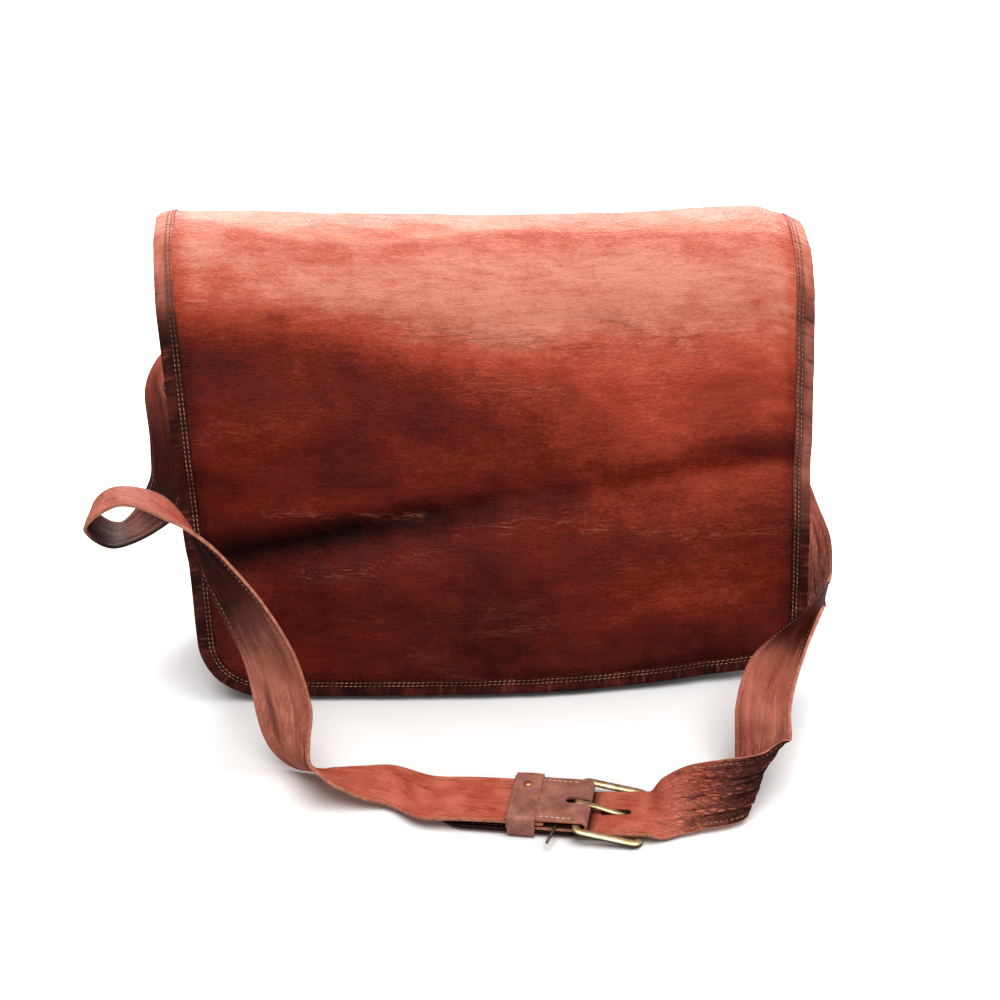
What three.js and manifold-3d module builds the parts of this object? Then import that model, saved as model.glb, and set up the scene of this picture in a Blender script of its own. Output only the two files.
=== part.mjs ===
import * as THREE from "three";
import { mergeVertices } from "three/addons/utils/BufferGeometryUtils.js";
import Module from "manifold-3d";

const wasm = await Module();
wasm.setup();

// Leather messenger bag that stands on its base, with the flap down and the fastened shoulder
// strap thrown forward onto the floor. Millimetres, +Z up, the flap faces -Y.
// Origin: middle of the base, on the floor.

// Driving dimensions
const LEATHER = 2;
const GAP = 0.3;
const BODY = { topHalf: 196, baseHalf: 200, corner: 40, depth: 92, mouth: 240, backTop: 246 };
const GUSSET = { sideTop: 244, arch: 26, archStart: 180 };
const PANEL_BELLY = { front: 7, back: 4, backEnds: 200 };
const FLAP = { half: 203, corner: 40, rollRadius: 48, backLength: 45, frontLength: 258, backGap: 0.5 };
const HEM = { height: 5.5, rise: 4, riseFrom: 40, zone: 60, tuck: 5 };
const TOP_LINE = { height: 315, tilt: 0.04, sag: 4, sagHalf: 175 };
const TOP_CORNERS = { leftDrop: 1, rightDrop: 11, start: 170, length: 38 };
const FRONT_SWELL = { lean: 15, belly: 14, bellyX: 25, bellyReach: 240, foldStart: 0.25 };
const BINDING = { width: 10, wall: 1.3, lip: 1.9, edgeGap: 0.6 };
const STRAP = { width: 44, thickness: 3, sewnLift: 0.4, stepsPerStation: 3 };
const TAB = { leather: 1.8, room: 0.7, length: 43, slotStart: -9, slotEnd: 8, slotHalf: 3.2 };
const BUCKLE = { x: 40, y: -214, turn: -12, pitch: 10, long: 44, wide: 57, bar: 5.5, thick: 3.2, corner: 7 };
const KEEPER = { start: -42, length: 17, wall: 1.6, side: 0.6, corner: 2.5 };
const PRONG = { width: 4.2, ringWall: 1.1, chamfer: 1, tip: 32.5, tipDrop: 0.6, tipThick: 1.4 };
const TONGUE_SLOT = { middle: 23, length: 22, width: 5.2 };
const TAIL = { tipLength: 22, blunt: 0.35 };
const RIVET = { along: -33.5, across: 10, head: 2.6, shank: 1, height: 1.2 };
const PIN = { radius: 1.1, tip: 0.8, from: [-11, -15, 9.4], to: [-16, -36, 6.6] };

// Folds of the flap's front, as soft lines between two points: a negative depth is a ridge
const FLAP_FOLDS = [
  { name: "valley, left", x1: -215, z1: 104, x2: -45, z2: 137, depth: 8, width: 18 },
  { name: "valley, right", x1: 5, z1: 142, x2: 215, z2: 154, depth: 5, width: 18 },
  { name: "upper ridge", x1: -150, z1: 205, x2: 160, z2: 222, depth: -6, width: 45 },
  { name: "right dent", x1: 140, z1: 205, x2: 215, z2: 212, depth: 2.5, width: 14 },
  { name: "lower ridge", x1: -150, z1: 82, x2: -60, z2: 96, depth: -3, width: 22 },
];

// Strap routes: centre of each section and the direction across it, from the sewn end on
const LEFT_ROUTE = [
  { x: -199.4, y: 0, z: 206, ax: 0, ay: -1, az: 0 },
  { x: -203, y: 0, z: 215, ax: 0, ay: -1, az: 0 },
  { x: -209, y: 0, z: 220, ax: 0.08, ay: -1, az: 0 },
  { x: -215, y: 0, z: 211, ax: 0.25, ay: -0.97, az: 0.05 },
  { x: -215.5, y: 1, z: 190, ax: 0.55, ay: -0.83, az: 0.08 },
  { x: -215.5, y: -1, z: 154, ax: 0.55, ay: -0.83, az: 0.09 },
  { x: -221, y: -4, z: 124, ax: 0.5, ay: -0.86, az: 0 },
  { x: -251, y: -13, z: 104, ax: 0.04, ay: -0.99, az: 0.11 },
  { x: -266, y: -31, z: 126, ax: 0, ay: -0.98, az: 0.16 },
  { x: -243, y: -56, z: 155, ax: 0.17, ay: -0.96, az: 0.2 },
  { x: -212, y: -84, z: 162, ax: 0.08, ay: -0.98, az: 0.19 },
  { x: -191, y: -104, z: 153, ax: 0.14, ay: -0.89, az: 0.43 },
  { x: -179, y: -113, z: 132, ax: 0.35, ay: -0.62, az: 0.7 },
  { x: -162, y: -120, z: 103, ax: 0.61, ay: -0.54, az: 0.57 },
  { x: -148, y: -130, z: 74, ax: 0.77, ay: -0.5, az: 0.39 },
  { x: -141, y: -141, z: 43, ax: 0.83, ay: -0.43, az: 0.35 },
  { x: -138, y: -154, z: 24, ax: 0.62, ay: -0.62, az: 0.48 },
  { x: -131, y: -165, z: 16.5, ax: 0.3, ay: -0.76, az: 0.58 },
  { x: -121, y: -171, z: 15, ax: 0.03, ay: -0.83, az: 0.56 },
  { x: -111, y: -172, z: 11, ax: 0, ay: -0.92, az: 0.38 },
  { x: -93, y: -173, z: 6.2, ax: -0.04, ay: -0.99, az: 0.16 },
  { x: -76, y: -175, z: 4, ax: -0.08, ay: -0.99, az: 0.03 },
];
const RIGHT_ROUTE = [
  { x: 199.3, y: 0, z: 195, ax: 0, ay: -1, az: 0 },
  { x: 200.7, y: 0, z: 201, ax: 0, ay: -1, az: 0 },
  { x: 203.5, y: 0, z: 205, ax: 0, ay: -1, az: 0 },
  { x: 206.5, y: 0, z: 199, ax: -0.05, ay: -1, az: 0 },
  { x: 207.5, y: -1, z: 160, ax: -0.1, ay: -0.99, az: 0 },
  { x: 209, y: -2, z: 120, ax: -0.2, ay: -0.98, az: 0.03 },
  { x: 214, y: -4, z: 91, ax: -0.42, ay: -0.9, az: 0.05 },
  { x: 220, y: -13, z: 64, ax: -0.6, ay: -0.8, az: 0.02 },
  { x: 219, y: -33, z: 48, ax: -0.56, ay: -0.83, az: -0.06 },
  { x: 216, y: -65, z: 58, ax: -0.2, ay: -0.92, az: 0.25 },
  { x: 200, y: -104, z: 70, ax: 0.1, ay: -0.83, az: 0.54 },
  { x: 182, y: -128, z: 66, ax: 0.35, ay: -0.85, az: 0.38 },
  { x: 166, y: -153, z: 58, ax: 0.56, ay: -0.8, az: 0.21 },
  { x: 158, y: -172, z: 45, ax: 0.64, ay: -0.72, az: 0.26 },
  { x: 155, y: -192, z: 33, ax: 0.68, ay: -0.52, az: 0.5 },
  { x: 148, y: -217, z: 21.5, ax: 0.39, ay: 0.5, az: 0.77 },
  { x: 118, y: -225, z: 20, ax: 0.33, ay: 0.55, az: 0.77 },
  { x: 102, y: -223, z: 15.5, ax: 0.2, ay: 0.78, az: 0.6 },
  { x: 90, y: -223, z: 10.5, ax: 0.12, ay: 0.92, az: 0.36 },
];

// Heights of the layers at the buckle, from the floor up
const LAYER = {};
LAYER.tail = KEEPER.wall + GAP + STRAP.thickness / 2;
LAYER.tabBottom = LAYER.tail + STRAP.thickness / 2 + GAP + TAB.leather / 2;
LAYER.bar = LAYER.tabBottom + TAB.leather / 2 + TAB.room + STRAP.thickness / 2;
LAYER.tabTop = 2 * LAYER.bar - LAYER.tabBottom;
LAYER.keeperTop = LAYER.tabTop + TAB.leather / 2 + GAP;

const LEFT_END = [
  { along: -95, height: LAYER.bar - 1.9 },
  { along: -72, height: LAYER.bar - 0.8 },
  { along: -50, height: LAYER.bar },
  { along: -35, height: LAYER.bar },
  { along: -20, height: LAYER.bar },
];
const TONGUE = [
  { along: 41, height: 7 },
  { along: 35, height: 6.4 },
  { along: 23, height: 5.2 },
  { along: 12, height: 4 },
  { along: 2, height: LAYER.tail },
  { along: -25, height: LAYER.tail },
  { along: -60, height: LAYER.tail },
  { along: -91, height: LAYER.tail },
];

const LEATHER_RED = { color: 0x8a3a28, roughness: 0.5 };
const LEATHER_DARK = { color: 0x5e2a20, roughness: 0.55 };
const LEATHER_STRAP = { color: 0x94402c, roughness: 0.55 };
const LEATHER_BROWN = { color: 0x7a4a40, roughness: 0.6 };
const BRASS = { color: 0xc8b070, roughness: 0.3, metalness: 1 };
const STEEL = { color: 0x4a4a48, roughness: 0.35, metalness: 1 };

const bag = new THREE.Group();

function steps(from, to, count) {
  return Array.from({ length: count + 1 }, (_, i) => from + ((to - from) * i) / count);
}

function joined(...runs) {
  return runs.flatMap((run, i) => (i ? run.slice(1) : run));
}

function ease(value) {
  return THREE.MathUtils.smoothstep(value, 0, 1);
}

// Solids: a closed geometry with shared corners and its faces pointing out
function volumeOf(geometry) {
  const [a, b, c] = [new THREE.Vector3(), new THREE.Vector3(), new THREE.Vector3()];
  const { position } = geometry.attributes;
  let volume = 0;
  for (let i = 0; i < geometry.index.count; i += 3) {
    a.fromBufferAttribute(position, geometry.index.getX(i));
    b.fromBufferAttribute(position, geometry.index.getX(i + 1));
    c.fromBufferAttribute(position, geometry.index.getX(i + 2));
    volume += a.dot(b.cross(c)) / 6;
  }
  return volume;
}

function closed(geometry) {
  geometry.deleteAttribute("normal");
  geometry.deleteAttribute("uv");
  geometry.clearGroups();
  return mergeVertices(geometry, 1e-4);
}

function facingOut(geometry) {
  if (volumeOf(geometry) < 0) geometry.setIndex(Array.from(geometry.index.array).reverse());
  return geometry;
}

// Carries every corner of a straight block to its place on a bent piece
function bend(block, place) {
  const geometry = closed(block);
  const { position } = geometry.attributes;
  for (let i = 0; i < position.count; i++) {
    const point = place(position.getX(i), position.getY(i), position.getZ(i));
    position.setXYZ(i, point.x, point.y, point.z);
  }
  return facingOut(geometry);
}

// A sheet of columns by rows: place(column, row, side), where side runs from -0.5 to 0.5
function sheet(columns, rows, place) {
  const block = new THREE.BoxGeometry(columns, rows, 1, columns, rows, 1);
  return bend(block, (x, y, z) => place(Math.round(x + columns / 2), Math.round(y + rows / 2), z));
}

function solidOf(geometry) {
  const vertProperties = new Float32Array(geometry.attributes.position.array);
  const triVerts = new Uint32Array(geometry.index.array);
  return new wasm.Manifold(new wasm.Mesh({ numProp: 3, vertProperties, triVerts }));
}

function cut(geometry, tool) {
  const result = solidOf(geometry).subtract(solidOf(tool)).getMesh();
  const cutGeometry = new THREE.BufferGeometry();
  cutGeometry.setAttribute("position", new THREE.BufferAttribute(result.vertProperties, 3));
  cutGeometry.setIndex(new THREE.BufferAttribute(result.triVerts, 1));
  return cutGeometry;
}

function add(parent, name, geometry, look) {
  const mesh = new THREE.Mesh(geometry, new THREE.MeshStandardMaterial(look));
  mesh.name = name;
  parent.add(mesh);
  return mesh;
}

// Body: half width of its outline at a height, with round lower corners
function bodyHalf(z) {
  const { topHalf, baseHalf, corner, mouth } = BODY;
  const side = THREE.MathUtils.lerp(baseHalf, topHalf, z / mouth);
  if (z >= corner) return side;
  return side - corner + Math.sqrt(corner ** 2 - (corner - z) ** 2);
}

function panel(top, plane, bulge) {
  const [columns, rows] = [12, 12];
  return sheet(columns, rows, (column, row, side) => {
    const across = (2 * column) / columns - 1;
    const z = top * (row / rows) ** 2;
    const swell = bulge(z) * (1 - across ** 2);
    const outward = plane + Math.sign(plane) * (swell + (side - 0.5) * LEATHER);
    return new THREE.Vector3(across * bodyHalf(z), outward, z);
  });
}

function frontPanel() {
  const { mouth, depth } = BODY;
  return panel(mouth, -depth / 2, (z) => PANEL_BELLY.front * Math.sin((Math.PI * z) / mouth));
}

function backPanel() {
  const { back, backEnds } = PANEL_BELLY;
  const bulge = (z) => back * Math.sin(Math.PI * Math.min(z / backEnds, 1));
  return panel(BODY.backTop, BODY.depth / 2, bulge);
}

// Gusset: one strip down the left side, along the base and up the right side
function gusset() {
  const { topHalf, corner, depth } = BODY;
  const { sideTop, arch, archStart } = GUSSET;
  const lowHalf = bodyHalf(corner);
  const outline = new THREE.Path();
  outline.moveTo(-topHalf, sideTop);
  outline.lineTo(-lowHalf, corner);
  outline.absarc(corner - lowHalf, corner, corner, Math.PI, 1.5 * Math.PI);
  outline.lineTo(lowHalf - corner, 0);
  outline.absarc(lowHalf - corner, corner, corner, 1.5 * Math.PI, 2 * Math.PI);
  outline.lineTo(topHalf, sideTop);
  const [length, across] = [52, 4];
  const half = depth / 2 - LEATHER - GAP;
  return sheet(length, across, (row, column, side) => {
    const point = outline.getPointAt(row / length);
    const along = outline.getTangentAt(row / length);
    const inward = (0.5 - side) * LEATHER;
    const y = half * ((2 * column) / across - 1);
    const raise = THREE.MathUtils.clamp((point.y - archStart) / (sideTop - archStart), 0, 1);
    const z = point.y + inward * along.x + raise * arch * (1 - (y / half) ** 2);
    return new THREE.Vector3(point.x - inward * along.y, y, z);
  });
}

// Flap: a flat rounded pattern, x across and t from the sewn edge to the hem, draped on the bag
const ROLL_LENGTH = Math.PI * FLAP.rollRadius;
const FLAP_LENGTH = FLAP.backLength + ROLL_LENGTH + FLAP.frontLength;
const ROLL_Y = BODY.depth / 2 + FLAP.backGap + LEATHER / 2 - FLAP.rollRadius;

function topLine(x) {
  const { height, tilt, sag, sagHalf } = TOP_LINE;
  const { leftDrop, rightDrop, start, length } = TOP_CORNERS;
  const corners = (x < 0 ? leftDrop : rightDrop) * ease((Math.abs(x) - start) / length);
  return height - tilt * x - sag * (1 - (x / sagHalf) ** 2) - corners;
}

function foldDepth(x, z) {
  let depth = 0;
  for (const fold of FLAP_FOLDS) {
    const line = new THREE.Vector2(fold.x2 - fold.x1, fold.z2 - fold.z1);
    const reach = new THREE.Vector2(x - fold.x1, z - fold.z1);
    const along = THREE.MathUtils.clamp(reach.dot(line) / line.lengthSq(), 0, 1);
    const distance = reach.sub(line.multiplyScalar(along)).length();
    depth += fold.depth * Math.exp(-((distance / fold.width) ** 2));
  }
  return depth;
}

function frontSwell(x, z, height) {
  const { lean, belly, bellyX, bellyReach } = FRONT_SWELL;
  const middle = Math.cos((Math.PI / 2) * THREE.MathUtils.clamp((x - bellyX) / bellyReach, -1, 1)) ** 2;
  const fade = ease((1 - height) / FRONT_SWELL.foldStart);
  return (lean + belly * middle) * (1 - height ** 2) - foldDepth(x, z) * fade;
}

function drape(x, t) {
  const { half, rollRadius, backLength, frontLength } = FLAP;
  const shoulder = topLine(x) - LEATHER / 2 - rollRadius;
  const onRoll = t - backLength;
  if (onRoll < 0) return new THREE.Vector3(x, ROLL_Y + rollRadius, shoulder + onRoll);
  if (onRoll < ROLL_LENGTH) {
    const turn = onRoll / rollRadius;
    return new THREE.Vector3(x, ROLL_Y + rollRadius * Math.cos(turn), shoulder + rollRadius * Math.sin(turn));
  }
  const height = 1 - (onRoll - ROLL_LENGTH) / frontLength;
  const low = HEM.height + HEM.rise * ease((x - HEM.riseFrom) / (half - HEM.riseFrom));
  const z = THREE.MathUtils.lerp(low, shoulder, height);
  const sideways = HEM.tuck * (1 - height) * (0.5 - (0.5 * x) / half);
  return new THREE.Vector3(x + sideways, ROLL_Y - rollRadius - frontSwell(x, z, height), z);
}

function onFlap(x, t, offset) {
  const reach = 0.5;
  const across = drape(x + reach, t).sub(drape(x - reach, t));
  const along = drape(x, t + reach).sub(drape(x, t - reach));
  return drape(x, t).addScaledVector(along.cross(across).normalize(), offset);
}

const EDGE_COLUMNS = [0, BINDING.width / 2, BINDING.width, 18, 28, FLAP.corner];
const FLAP_COLUMNS = joined(
  EDGE_COLUMNS.map((inset) => inset - FLAP.half),
  steps(FLAP.corner - FLAP.half, FLAP.half - FLAP.corner, 12),
  EDGE_COLUMNS.map((inset) => FLAP.half - inset).reverse(),
);
const FLAP_ROWS = joined(
  steps(0, FLAP.backLength, 3),
  steps(FLAP.backLength, FLAP.backLength + ROLL_LENGTH, 11),
  steps(FLAP.backLength + ROLL_LENGTH, FLAP_LENGTH - HEM.zone, 16),
);

function hemLimit(x) {
  const past = Math.max(Math.abs(x) - (FLAP.half - FLAP.corner), 0);
  return FLAP_LENGTH - FLAP.corner + Math.sqrt(FLAP.corner ** 2 - past ** 2);
}

function flap() {
  const hemRows = 6;
  const fixed = FLAP_ROWS.length - 1;
  return sheet(FLAP_COLUMNS.length - 1, fixed + hemRows, (column, row, side) => {
    const x = FLAP_COLUMNS[column];
    const below = Math.max(row - fixed, 0) / hemRows;
    const t = THREE.MathUtils.lerp(FLAP_ROWS[Math.min(row, fixed)], hemLimit(x), below);
    return onFlap(x, t, side * LEATHER);
  });
}

// Binding: a folded strip with a U section round the flap's two sides, lower corners and hem
function bindingStations() {
  const { half, corner, backLength } = FLAP;
  const cornerT = FLAP_LENGTH - corner;
  const sideRows = joined(
    FLAP_ROWS.filter((t) => t >= backLength),
    steps(FLAP_LENGTH - HEM.zone, cornerT, 2),
  );
  const side = sideRows.map((t) => ({ x: -half, t, dx: 1, dt: 0 }));
  const round = steps(0, Math.PI / 2, 7).map((turn) => ({
    x: corner - half - corner * Math.cos(turn),
    t: cornerT + corner * Math.sin(turn),
    dx: Math.cos(turn),
    dt: -Math.sin(turn),
  }));
  const left = joined(side, round);
  const hemColumns = FLAP_COLUMNS.filter((x) => Math.abs(x) <= half - corner);
  const hem = hemColumns.map((x) => ({ x, t: FLAP_LENGTH, dx: 0, dt: -1 }));
  const right = left.map(({ x, t, dx, dt }) => ({ x: -x, t, dx: -dx, dt })).reverse();
  return joined(left, hem, right);
}

function flapBinding() {
  const { width, wall, lip, edgeGap } = BINDING;
  const inner = LEATHER / 2 + GAP;
  const outer = inner + wall;
  const section = new THREE.Shape();
  section.moveTo(width, inner);
  section.lineTo(width, outer);
  section.lineTo(0, outer);
  section.lineTo(-lip, outer / 2);
  section.lineTo(-lip, -outer / 2);
  section.lineTo(0, -outer);
  section.lineTo(width, -outer);
  section.lineTo(width, -inner);
  section.lineTo(width / 2, -inner);
  section.lineTo(-edgeGap, -inner);
  section.lineTo(-edgeGap, inner);
  section.lineTo(width / 2, inner);
  const stations = bindingStations();
  const count = stations.length - 1;
  const strip = new THREE.ExtrudeGeometry(section, { depth: count, steps: count, bevelEnabled: false });
  return bend(strip, (inset, offset, index) => {
    const { x, t, dx, dt } = stations[Math.round(index)];
    return onFlap(x + dx * inset, t + dt * inset, offset);
  });
}

// Straps: ribbons through the sections of their routes
function atBuckle(along, across, height) {
  const turn = THREE.MathUtils.degToRad(BUCKLE.turn);
  const x = BUCKLE.x + along * Math.cos(turn) - across * Math.sin(turn);
  const y = BUCKLE.y + along * Math.sin(turn) + across * Math.cos(turn);
  return new THREE.Vector3(x, y, height);
}

function routeStations(rows) {
  return rows.map(({ x, y, z, ax, ay, az }) => ({
    centre: new THREE.Vector3(x, y, z),
    across: new THREE.Vector3(ax, ay, az).normalize(),
  }));
}

function buckleStations(rows, facing) {
  const across = atBuckle(0, facing, 0).sub(atBuckle(0, 0, 0));
  return rows.map(({ along, height }) => ({ centre: atBuckle(along, 0, height), across }));
}

function sewnStations(sign, low, high) {
  return [0, 0.5, 1].map((rise) => {
    const z = THREE.MathUtils.lerp(low, high, rise);
    const out = GAP + STRAP.thickness / 2 + STRAP.sewnLift * rise;
    const centre = new THREE.Vector3(sign * (bodyHalf(z) + out), 0, z);
    return { centre, across: new THREE.Vector3(0, -1, 0) };
  });
}

function strap(stations, halfWidth) {
  const centre = new THREE.CatmullRomCurve3(stations.map((station) => station.centre));
  const across = new THREE.CatmullRomCurve3(stations.map((station) => station.across));
  const rows = STRAP.stepsPerStation * (stations.length - 1);
  const columns = 2;
  const nearby = 1e-3;
  const point = (u, v) => {
    const reach = across.getPoint(u).normalize().multiplyScalar(v * halfWidth(u));
    return centre.getPoint(u).add(reach);
  };
  return sheet(rows, columns, (row, column, side) => {
    const u = row / rows;
    const v = (2 * column) / columns - 1;
    const [before, after] = [Math.max(u - nearby, 0), Math.min(u + nearby, 1)];
    const along = point(after, v).sub(point(before, v));
    const normal = along.cross(across.getPoint(u)).normalize();
    return point(u, v).addScaledVector(normal, side * STRAP.thickness);
  });
}

function strapLeft() {
  const sewn = sewnStations(-1, 150, 197);
  const stations = [...sewn, ...routeStations(LEFT_ROUTE), ...buckleStations(LEFT_END, -1)];
  return strap(stations, () => STRAP.width / 2);
}

function strapRight() {
  const sewn = sewnStations(1, 140, 188);
  const stations = [...sewn, ...routeStations(RIGHT_ROUTE), ...buckleStations(TONGUE, 1)];
  const end = stations.at(-1).centre;
  const centre = new THREE.CatmullRomCurve3(stations.map((station) => station.centre));
  const halfWidth = (u) => {
    const left = centre.getPoint(u).distanceTo(end);
    const round = Math.sqrt(1 - Math.max(1 - left / TAIL.tipLength, 0) ** 2);
    return (STRAP.width / 2) * Math.max(round, TAIL.blunt);
  };
  const ribbon = strap(stations, halfWidth);
  const slot = closed(new THREE.BoxGeometry(TONGUE_SLOT.length, TONGUE_SLOT.width, 4 * STRAP.thickness));
  slot.rotateZ(THREE.MathUtils.degToRad(BUCKLE.turn));
  slot.translate(...atBuckle(TONGUE_SLOT.middle, 0, LAYER.tail + STRAP.thickness / 2).toArray());
  return cut(ribbon, slot);
}

// Buckle: local x along the strap, y across it, z up; the frame leans from its bar to the floor
function roundedOutline(target, x1, x2, y1, y2, radius) {
  target.moveTo(x1 + radius, y1);
  target.lineTo(x2 - radius, y1);
  target.absarc(x2 - radius, y1 + radius, radius, -Math.PI / 2, 0);
  target.lineTo(x2, y2 - radius);
  target.absarc(x2 - radius, y2 - radius, radius, 0, Math.PI / 2);
  target.lineTo(x1 + radius, y2);
  target.absarc(x1 + radius, y2 - radius, radius, Math.PI / 2, Math.PI);
  target.lineTo(x1, y1 + radius);
  target.absarc(x1 + radius, y1 + radius, radius, Math.PI, 1.5 * Math.PI);
  return target;
}

function buckleFrame() {
  const { long, wide, bar, thick, corner } = BUCKLE;
  const [start, end] = [-bar / 2, long - bar / 2];
  const outline = roundedOutline(new THREE.Shape(), start, end, -wide / 2, wide / 2, corner);
  const inside = [start + bar, end - bar, bar - wide / 2, wide / 2 - bar, corner - bar / 2];
  outline.holes.push(roundedOutline(new THREE.Path(), ...inside));
  const bevel = thick / 4;
  const frame = new THREE.ExtrudeGeometry(outline, {
    depth: thick - 2 * bevel,
    bevelThickness: bevel,
    bevelSize: bevel,
    bevelOffset: -bevel,
    bevelSegments: 1,
    curveSegments: 4,
  });
  frame.translate(0, 0, bevel - thick / 2);
  return facingOut(closed(frame));
}

function buckleProng() {
  const { width, ringWall, chamfer, tip, tipDrop, tipThick } = PRONG;
  const eyeX = BUCKLE.bar / 2 + GAP;
  const eyeZ = BUCKLE.thick / 2 + GAP;
  const [ringX, ringZ] = [eyeX + ringWall, eyeZ + ringWall];
  const side = new THREE.Shape();
  side.moveTo(chamfer - ringX, -ringZ);
  side.lineTo(ringX - chamfer, -ringZ);
  side.lineTo(ringX, chamfer - ringZ);
  side.lineTo(ringX, ringZ - 2 * ringWall);
  side.lineTo(tip, -tipDrop - tipThick / 2);
  side.lineTo(tip, tipThick / 2 - tipDrop);
  side.lineTo(ringX, ringZ);
  side.lineTo(chamfer - ringX, ringZ);
  side.lineTo(-ringX, ringZ - chamfer);
  side.lineTo(-ringX, chamfer - ringZ);
  side.holes.push(roundedOutline(new THREE.Path(), -eyeX, eyeX, -eyeZ, eyeZ, chamfer / 2));
  const prong = new THREE.ExtrudeGeometry(side, { depth: width, bevelEnabled: false, curveSegments: 2 });
  prong.translate(0, 0, -width / 2);
  prong.rotateX(Math.PI / 2);
  return facingOut(closed(prong));
}

function buckleTab() {
  const { leather, length, slotStart, slotEnd, slotHalf } = TAB;
  const bendX = BUCKLE.bar / 2;
  const middle = LAYER.bar;
  const inner = LAYER.tabTop - leather / 2 - middle;
  const outer = inner + leather;
  const side = new THREE.Shape();
  side.moveTo(-length, middle - outer);
  side.lineTo(bendX, middle - outer);
  side.absarc(bendX, middle, outer, -Math.PI / 2, Math.PI / 2);
  side.lineTo(-length, middle + outer);
  side.lineTo(-length, middle + inner);
  side.lineTo(bendX, middle + inner);
  side.absarc(bendX, middle, inner, Math.PI / 2, -Math.PI / 2, true);
  side.lineTo(-length, middle - inner);
  const depth = STRAP.width;
  const tab = new THREE.ExtrudeGeometry(side, { depth, steps: 4, bevelEnabled: false, curveSegments: 8 });
  tab.translate(0, 0, -depth / 2);
  tab.rotateX(Math.PI / 2);
  const slot = closed(new THREE.BoxGeometry(slotEnd - slotStart, 2 * slotHalf, 4 * outer));
  slot.translate((slotStart + slotEnd) / 2, 0, middle);
  return cut(facingOut(closed(tab)), slot);
}

const ACROSS_TO_LOCAL = new THREE.Matrix4().makeBasis(
  new THREE.Vector3(0, 1, 0),
  new THREE.Vector3(0, 0, 1),
  new THREE.Vector3(1, 0, 0),
);

function strapKeeper() {
  const { start, length, wall, side, corner } = KEEPER;
  const half = STRAP.width / 2 + side;
  const [low, high] = [wall, LAYER.keeperTop];
  const outline = roundedOutline(new THREE.Shape(), -half - wall, half + wall, 0, high + wall, corner);
  outline.holes.push(roundedOutline(new THREE.Path(), -half, half, low, high, corner - wall));
  const loop = new THREE.ExtrudeGeometry(outline, { depth: length, bevelEnabled: false, curveSegments: 4 });
  loop.translate(0, 0, start);
  loop.applyMatrix4(ACROSS_TO_LOCAL);
  const hole = new THREE.CylinderGeometry(RIVET.shank + GAP, RIVET.shank + GAP, 3 * wall, 12);
  hole.rotateX(Math.PI / 2);
  hole.translate(RIVET.along, RIVET.across, high + wall / 2);
  return cut(facingOut(closed(loop)), closed(hole));
}

function keeperRivet() {
  const { head, shank, height } = RIVET;
  const profile = [
    [0, -KEEPER.wall],
    [shank, -KEEPER.wall],
    [shank, GAP],
    [head, GAP],
    [head * 0.9, GAP + height * 0.55],
    [head * 0.6, GAP + height * 0.9],
    [0, GAP + height],
  ].map(([radius, z]) => new THREE.Vector2(radius, z));
  const rivet = new THREE.LatheGeometry(profile, 14);
  rivet.rotateX(Math.PI / 2);
  rivet.translate(RIVET.along, RIVET.across, LAYER.keeperTop + KEEPER.wall);
  return facingOut(closed(rivet));
}

function tabPin() {
  const [from, to] = [new THREE.Vector3(...PIN.from), new THREE.Vector3(...PIN.to)];
  const pin = new THREE.CylinderGeometry(PIN.tip, PIN.radius, from.distanceTo(to), 10);
  const up = new THREE.Vector3(0, 1, 0);
  pin.applyQuaternion(new THREE.Quaternion().setFromUnitVectors(up, to.clone().sub(from).normalize()));
  pin.translate(...from.add(to).multiplyScalar(0.5).toArray());
  return facingOut(closed(pin));
}

add(bag, "front_panel", frontPanel(), LEATHER_RED);
add(bag, "back_panel", backPanel(), LEATHER_RED);
add(bag, "gusset", gusset(), LEATHER_RED);
add(bag, "flap", flap(), LEATHER_RED);
add(bag, "flap_binding", flapBinding(), LEATHER_DARK);
add(bag, "strap_left", strapLeft(), LEATHER_STRAP);
add(bag, "strap_right", strapRight(), LEATHER_STRAP);

const buckle = new THREE.Group();
buckle.position.set(BUCKLE.x, BUCKLE.y, 0);
buckle.rotation.z = THREE.MathUtils.degToRad(BUCKLE.turn);
bag.add(buckle);
add(buckle, "buckle_tab", buckleTab(), LEATHER_BROWN);
add(buckle, "strap_keeper", strapKeeper(), LEATHER_BROWN);
add(buckle, "keeper_rivet", keeperRivet(), BRASS);
add(buckle, "tab_pin", tabPin(), STEEL);

const metal = new THREE.Group();
metal.position.z = LAYER.bar;
metal.rotation.y = THREE.MathUtils.degToRad(BUCKLE.pitch);
buckle.add(metal);
add(metal, "buckle_frame", buckleFrame(), BRASS);
add(metal, "buckle_prong", buckleProng(), BRASS);

export default bag;
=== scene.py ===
import math

import bmesh
import bpy
import numpy as np
from mathutils import Matrix, Vector


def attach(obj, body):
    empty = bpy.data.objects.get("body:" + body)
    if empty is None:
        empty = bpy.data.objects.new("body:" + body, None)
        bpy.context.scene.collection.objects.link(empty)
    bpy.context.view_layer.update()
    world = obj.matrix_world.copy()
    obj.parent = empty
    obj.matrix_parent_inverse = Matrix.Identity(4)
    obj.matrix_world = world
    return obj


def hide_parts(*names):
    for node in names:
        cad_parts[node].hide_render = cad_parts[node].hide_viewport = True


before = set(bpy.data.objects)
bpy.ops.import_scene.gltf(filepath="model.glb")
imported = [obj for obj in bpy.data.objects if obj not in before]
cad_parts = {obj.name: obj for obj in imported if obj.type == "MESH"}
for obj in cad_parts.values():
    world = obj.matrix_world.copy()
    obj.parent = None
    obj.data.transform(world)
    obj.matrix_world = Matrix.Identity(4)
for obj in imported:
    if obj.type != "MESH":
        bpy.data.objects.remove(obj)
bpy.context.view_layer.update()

# Leather messenger bag: the dressed pieces follow the part's own sizes, in millimetres.
MM = 0.001

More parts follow.
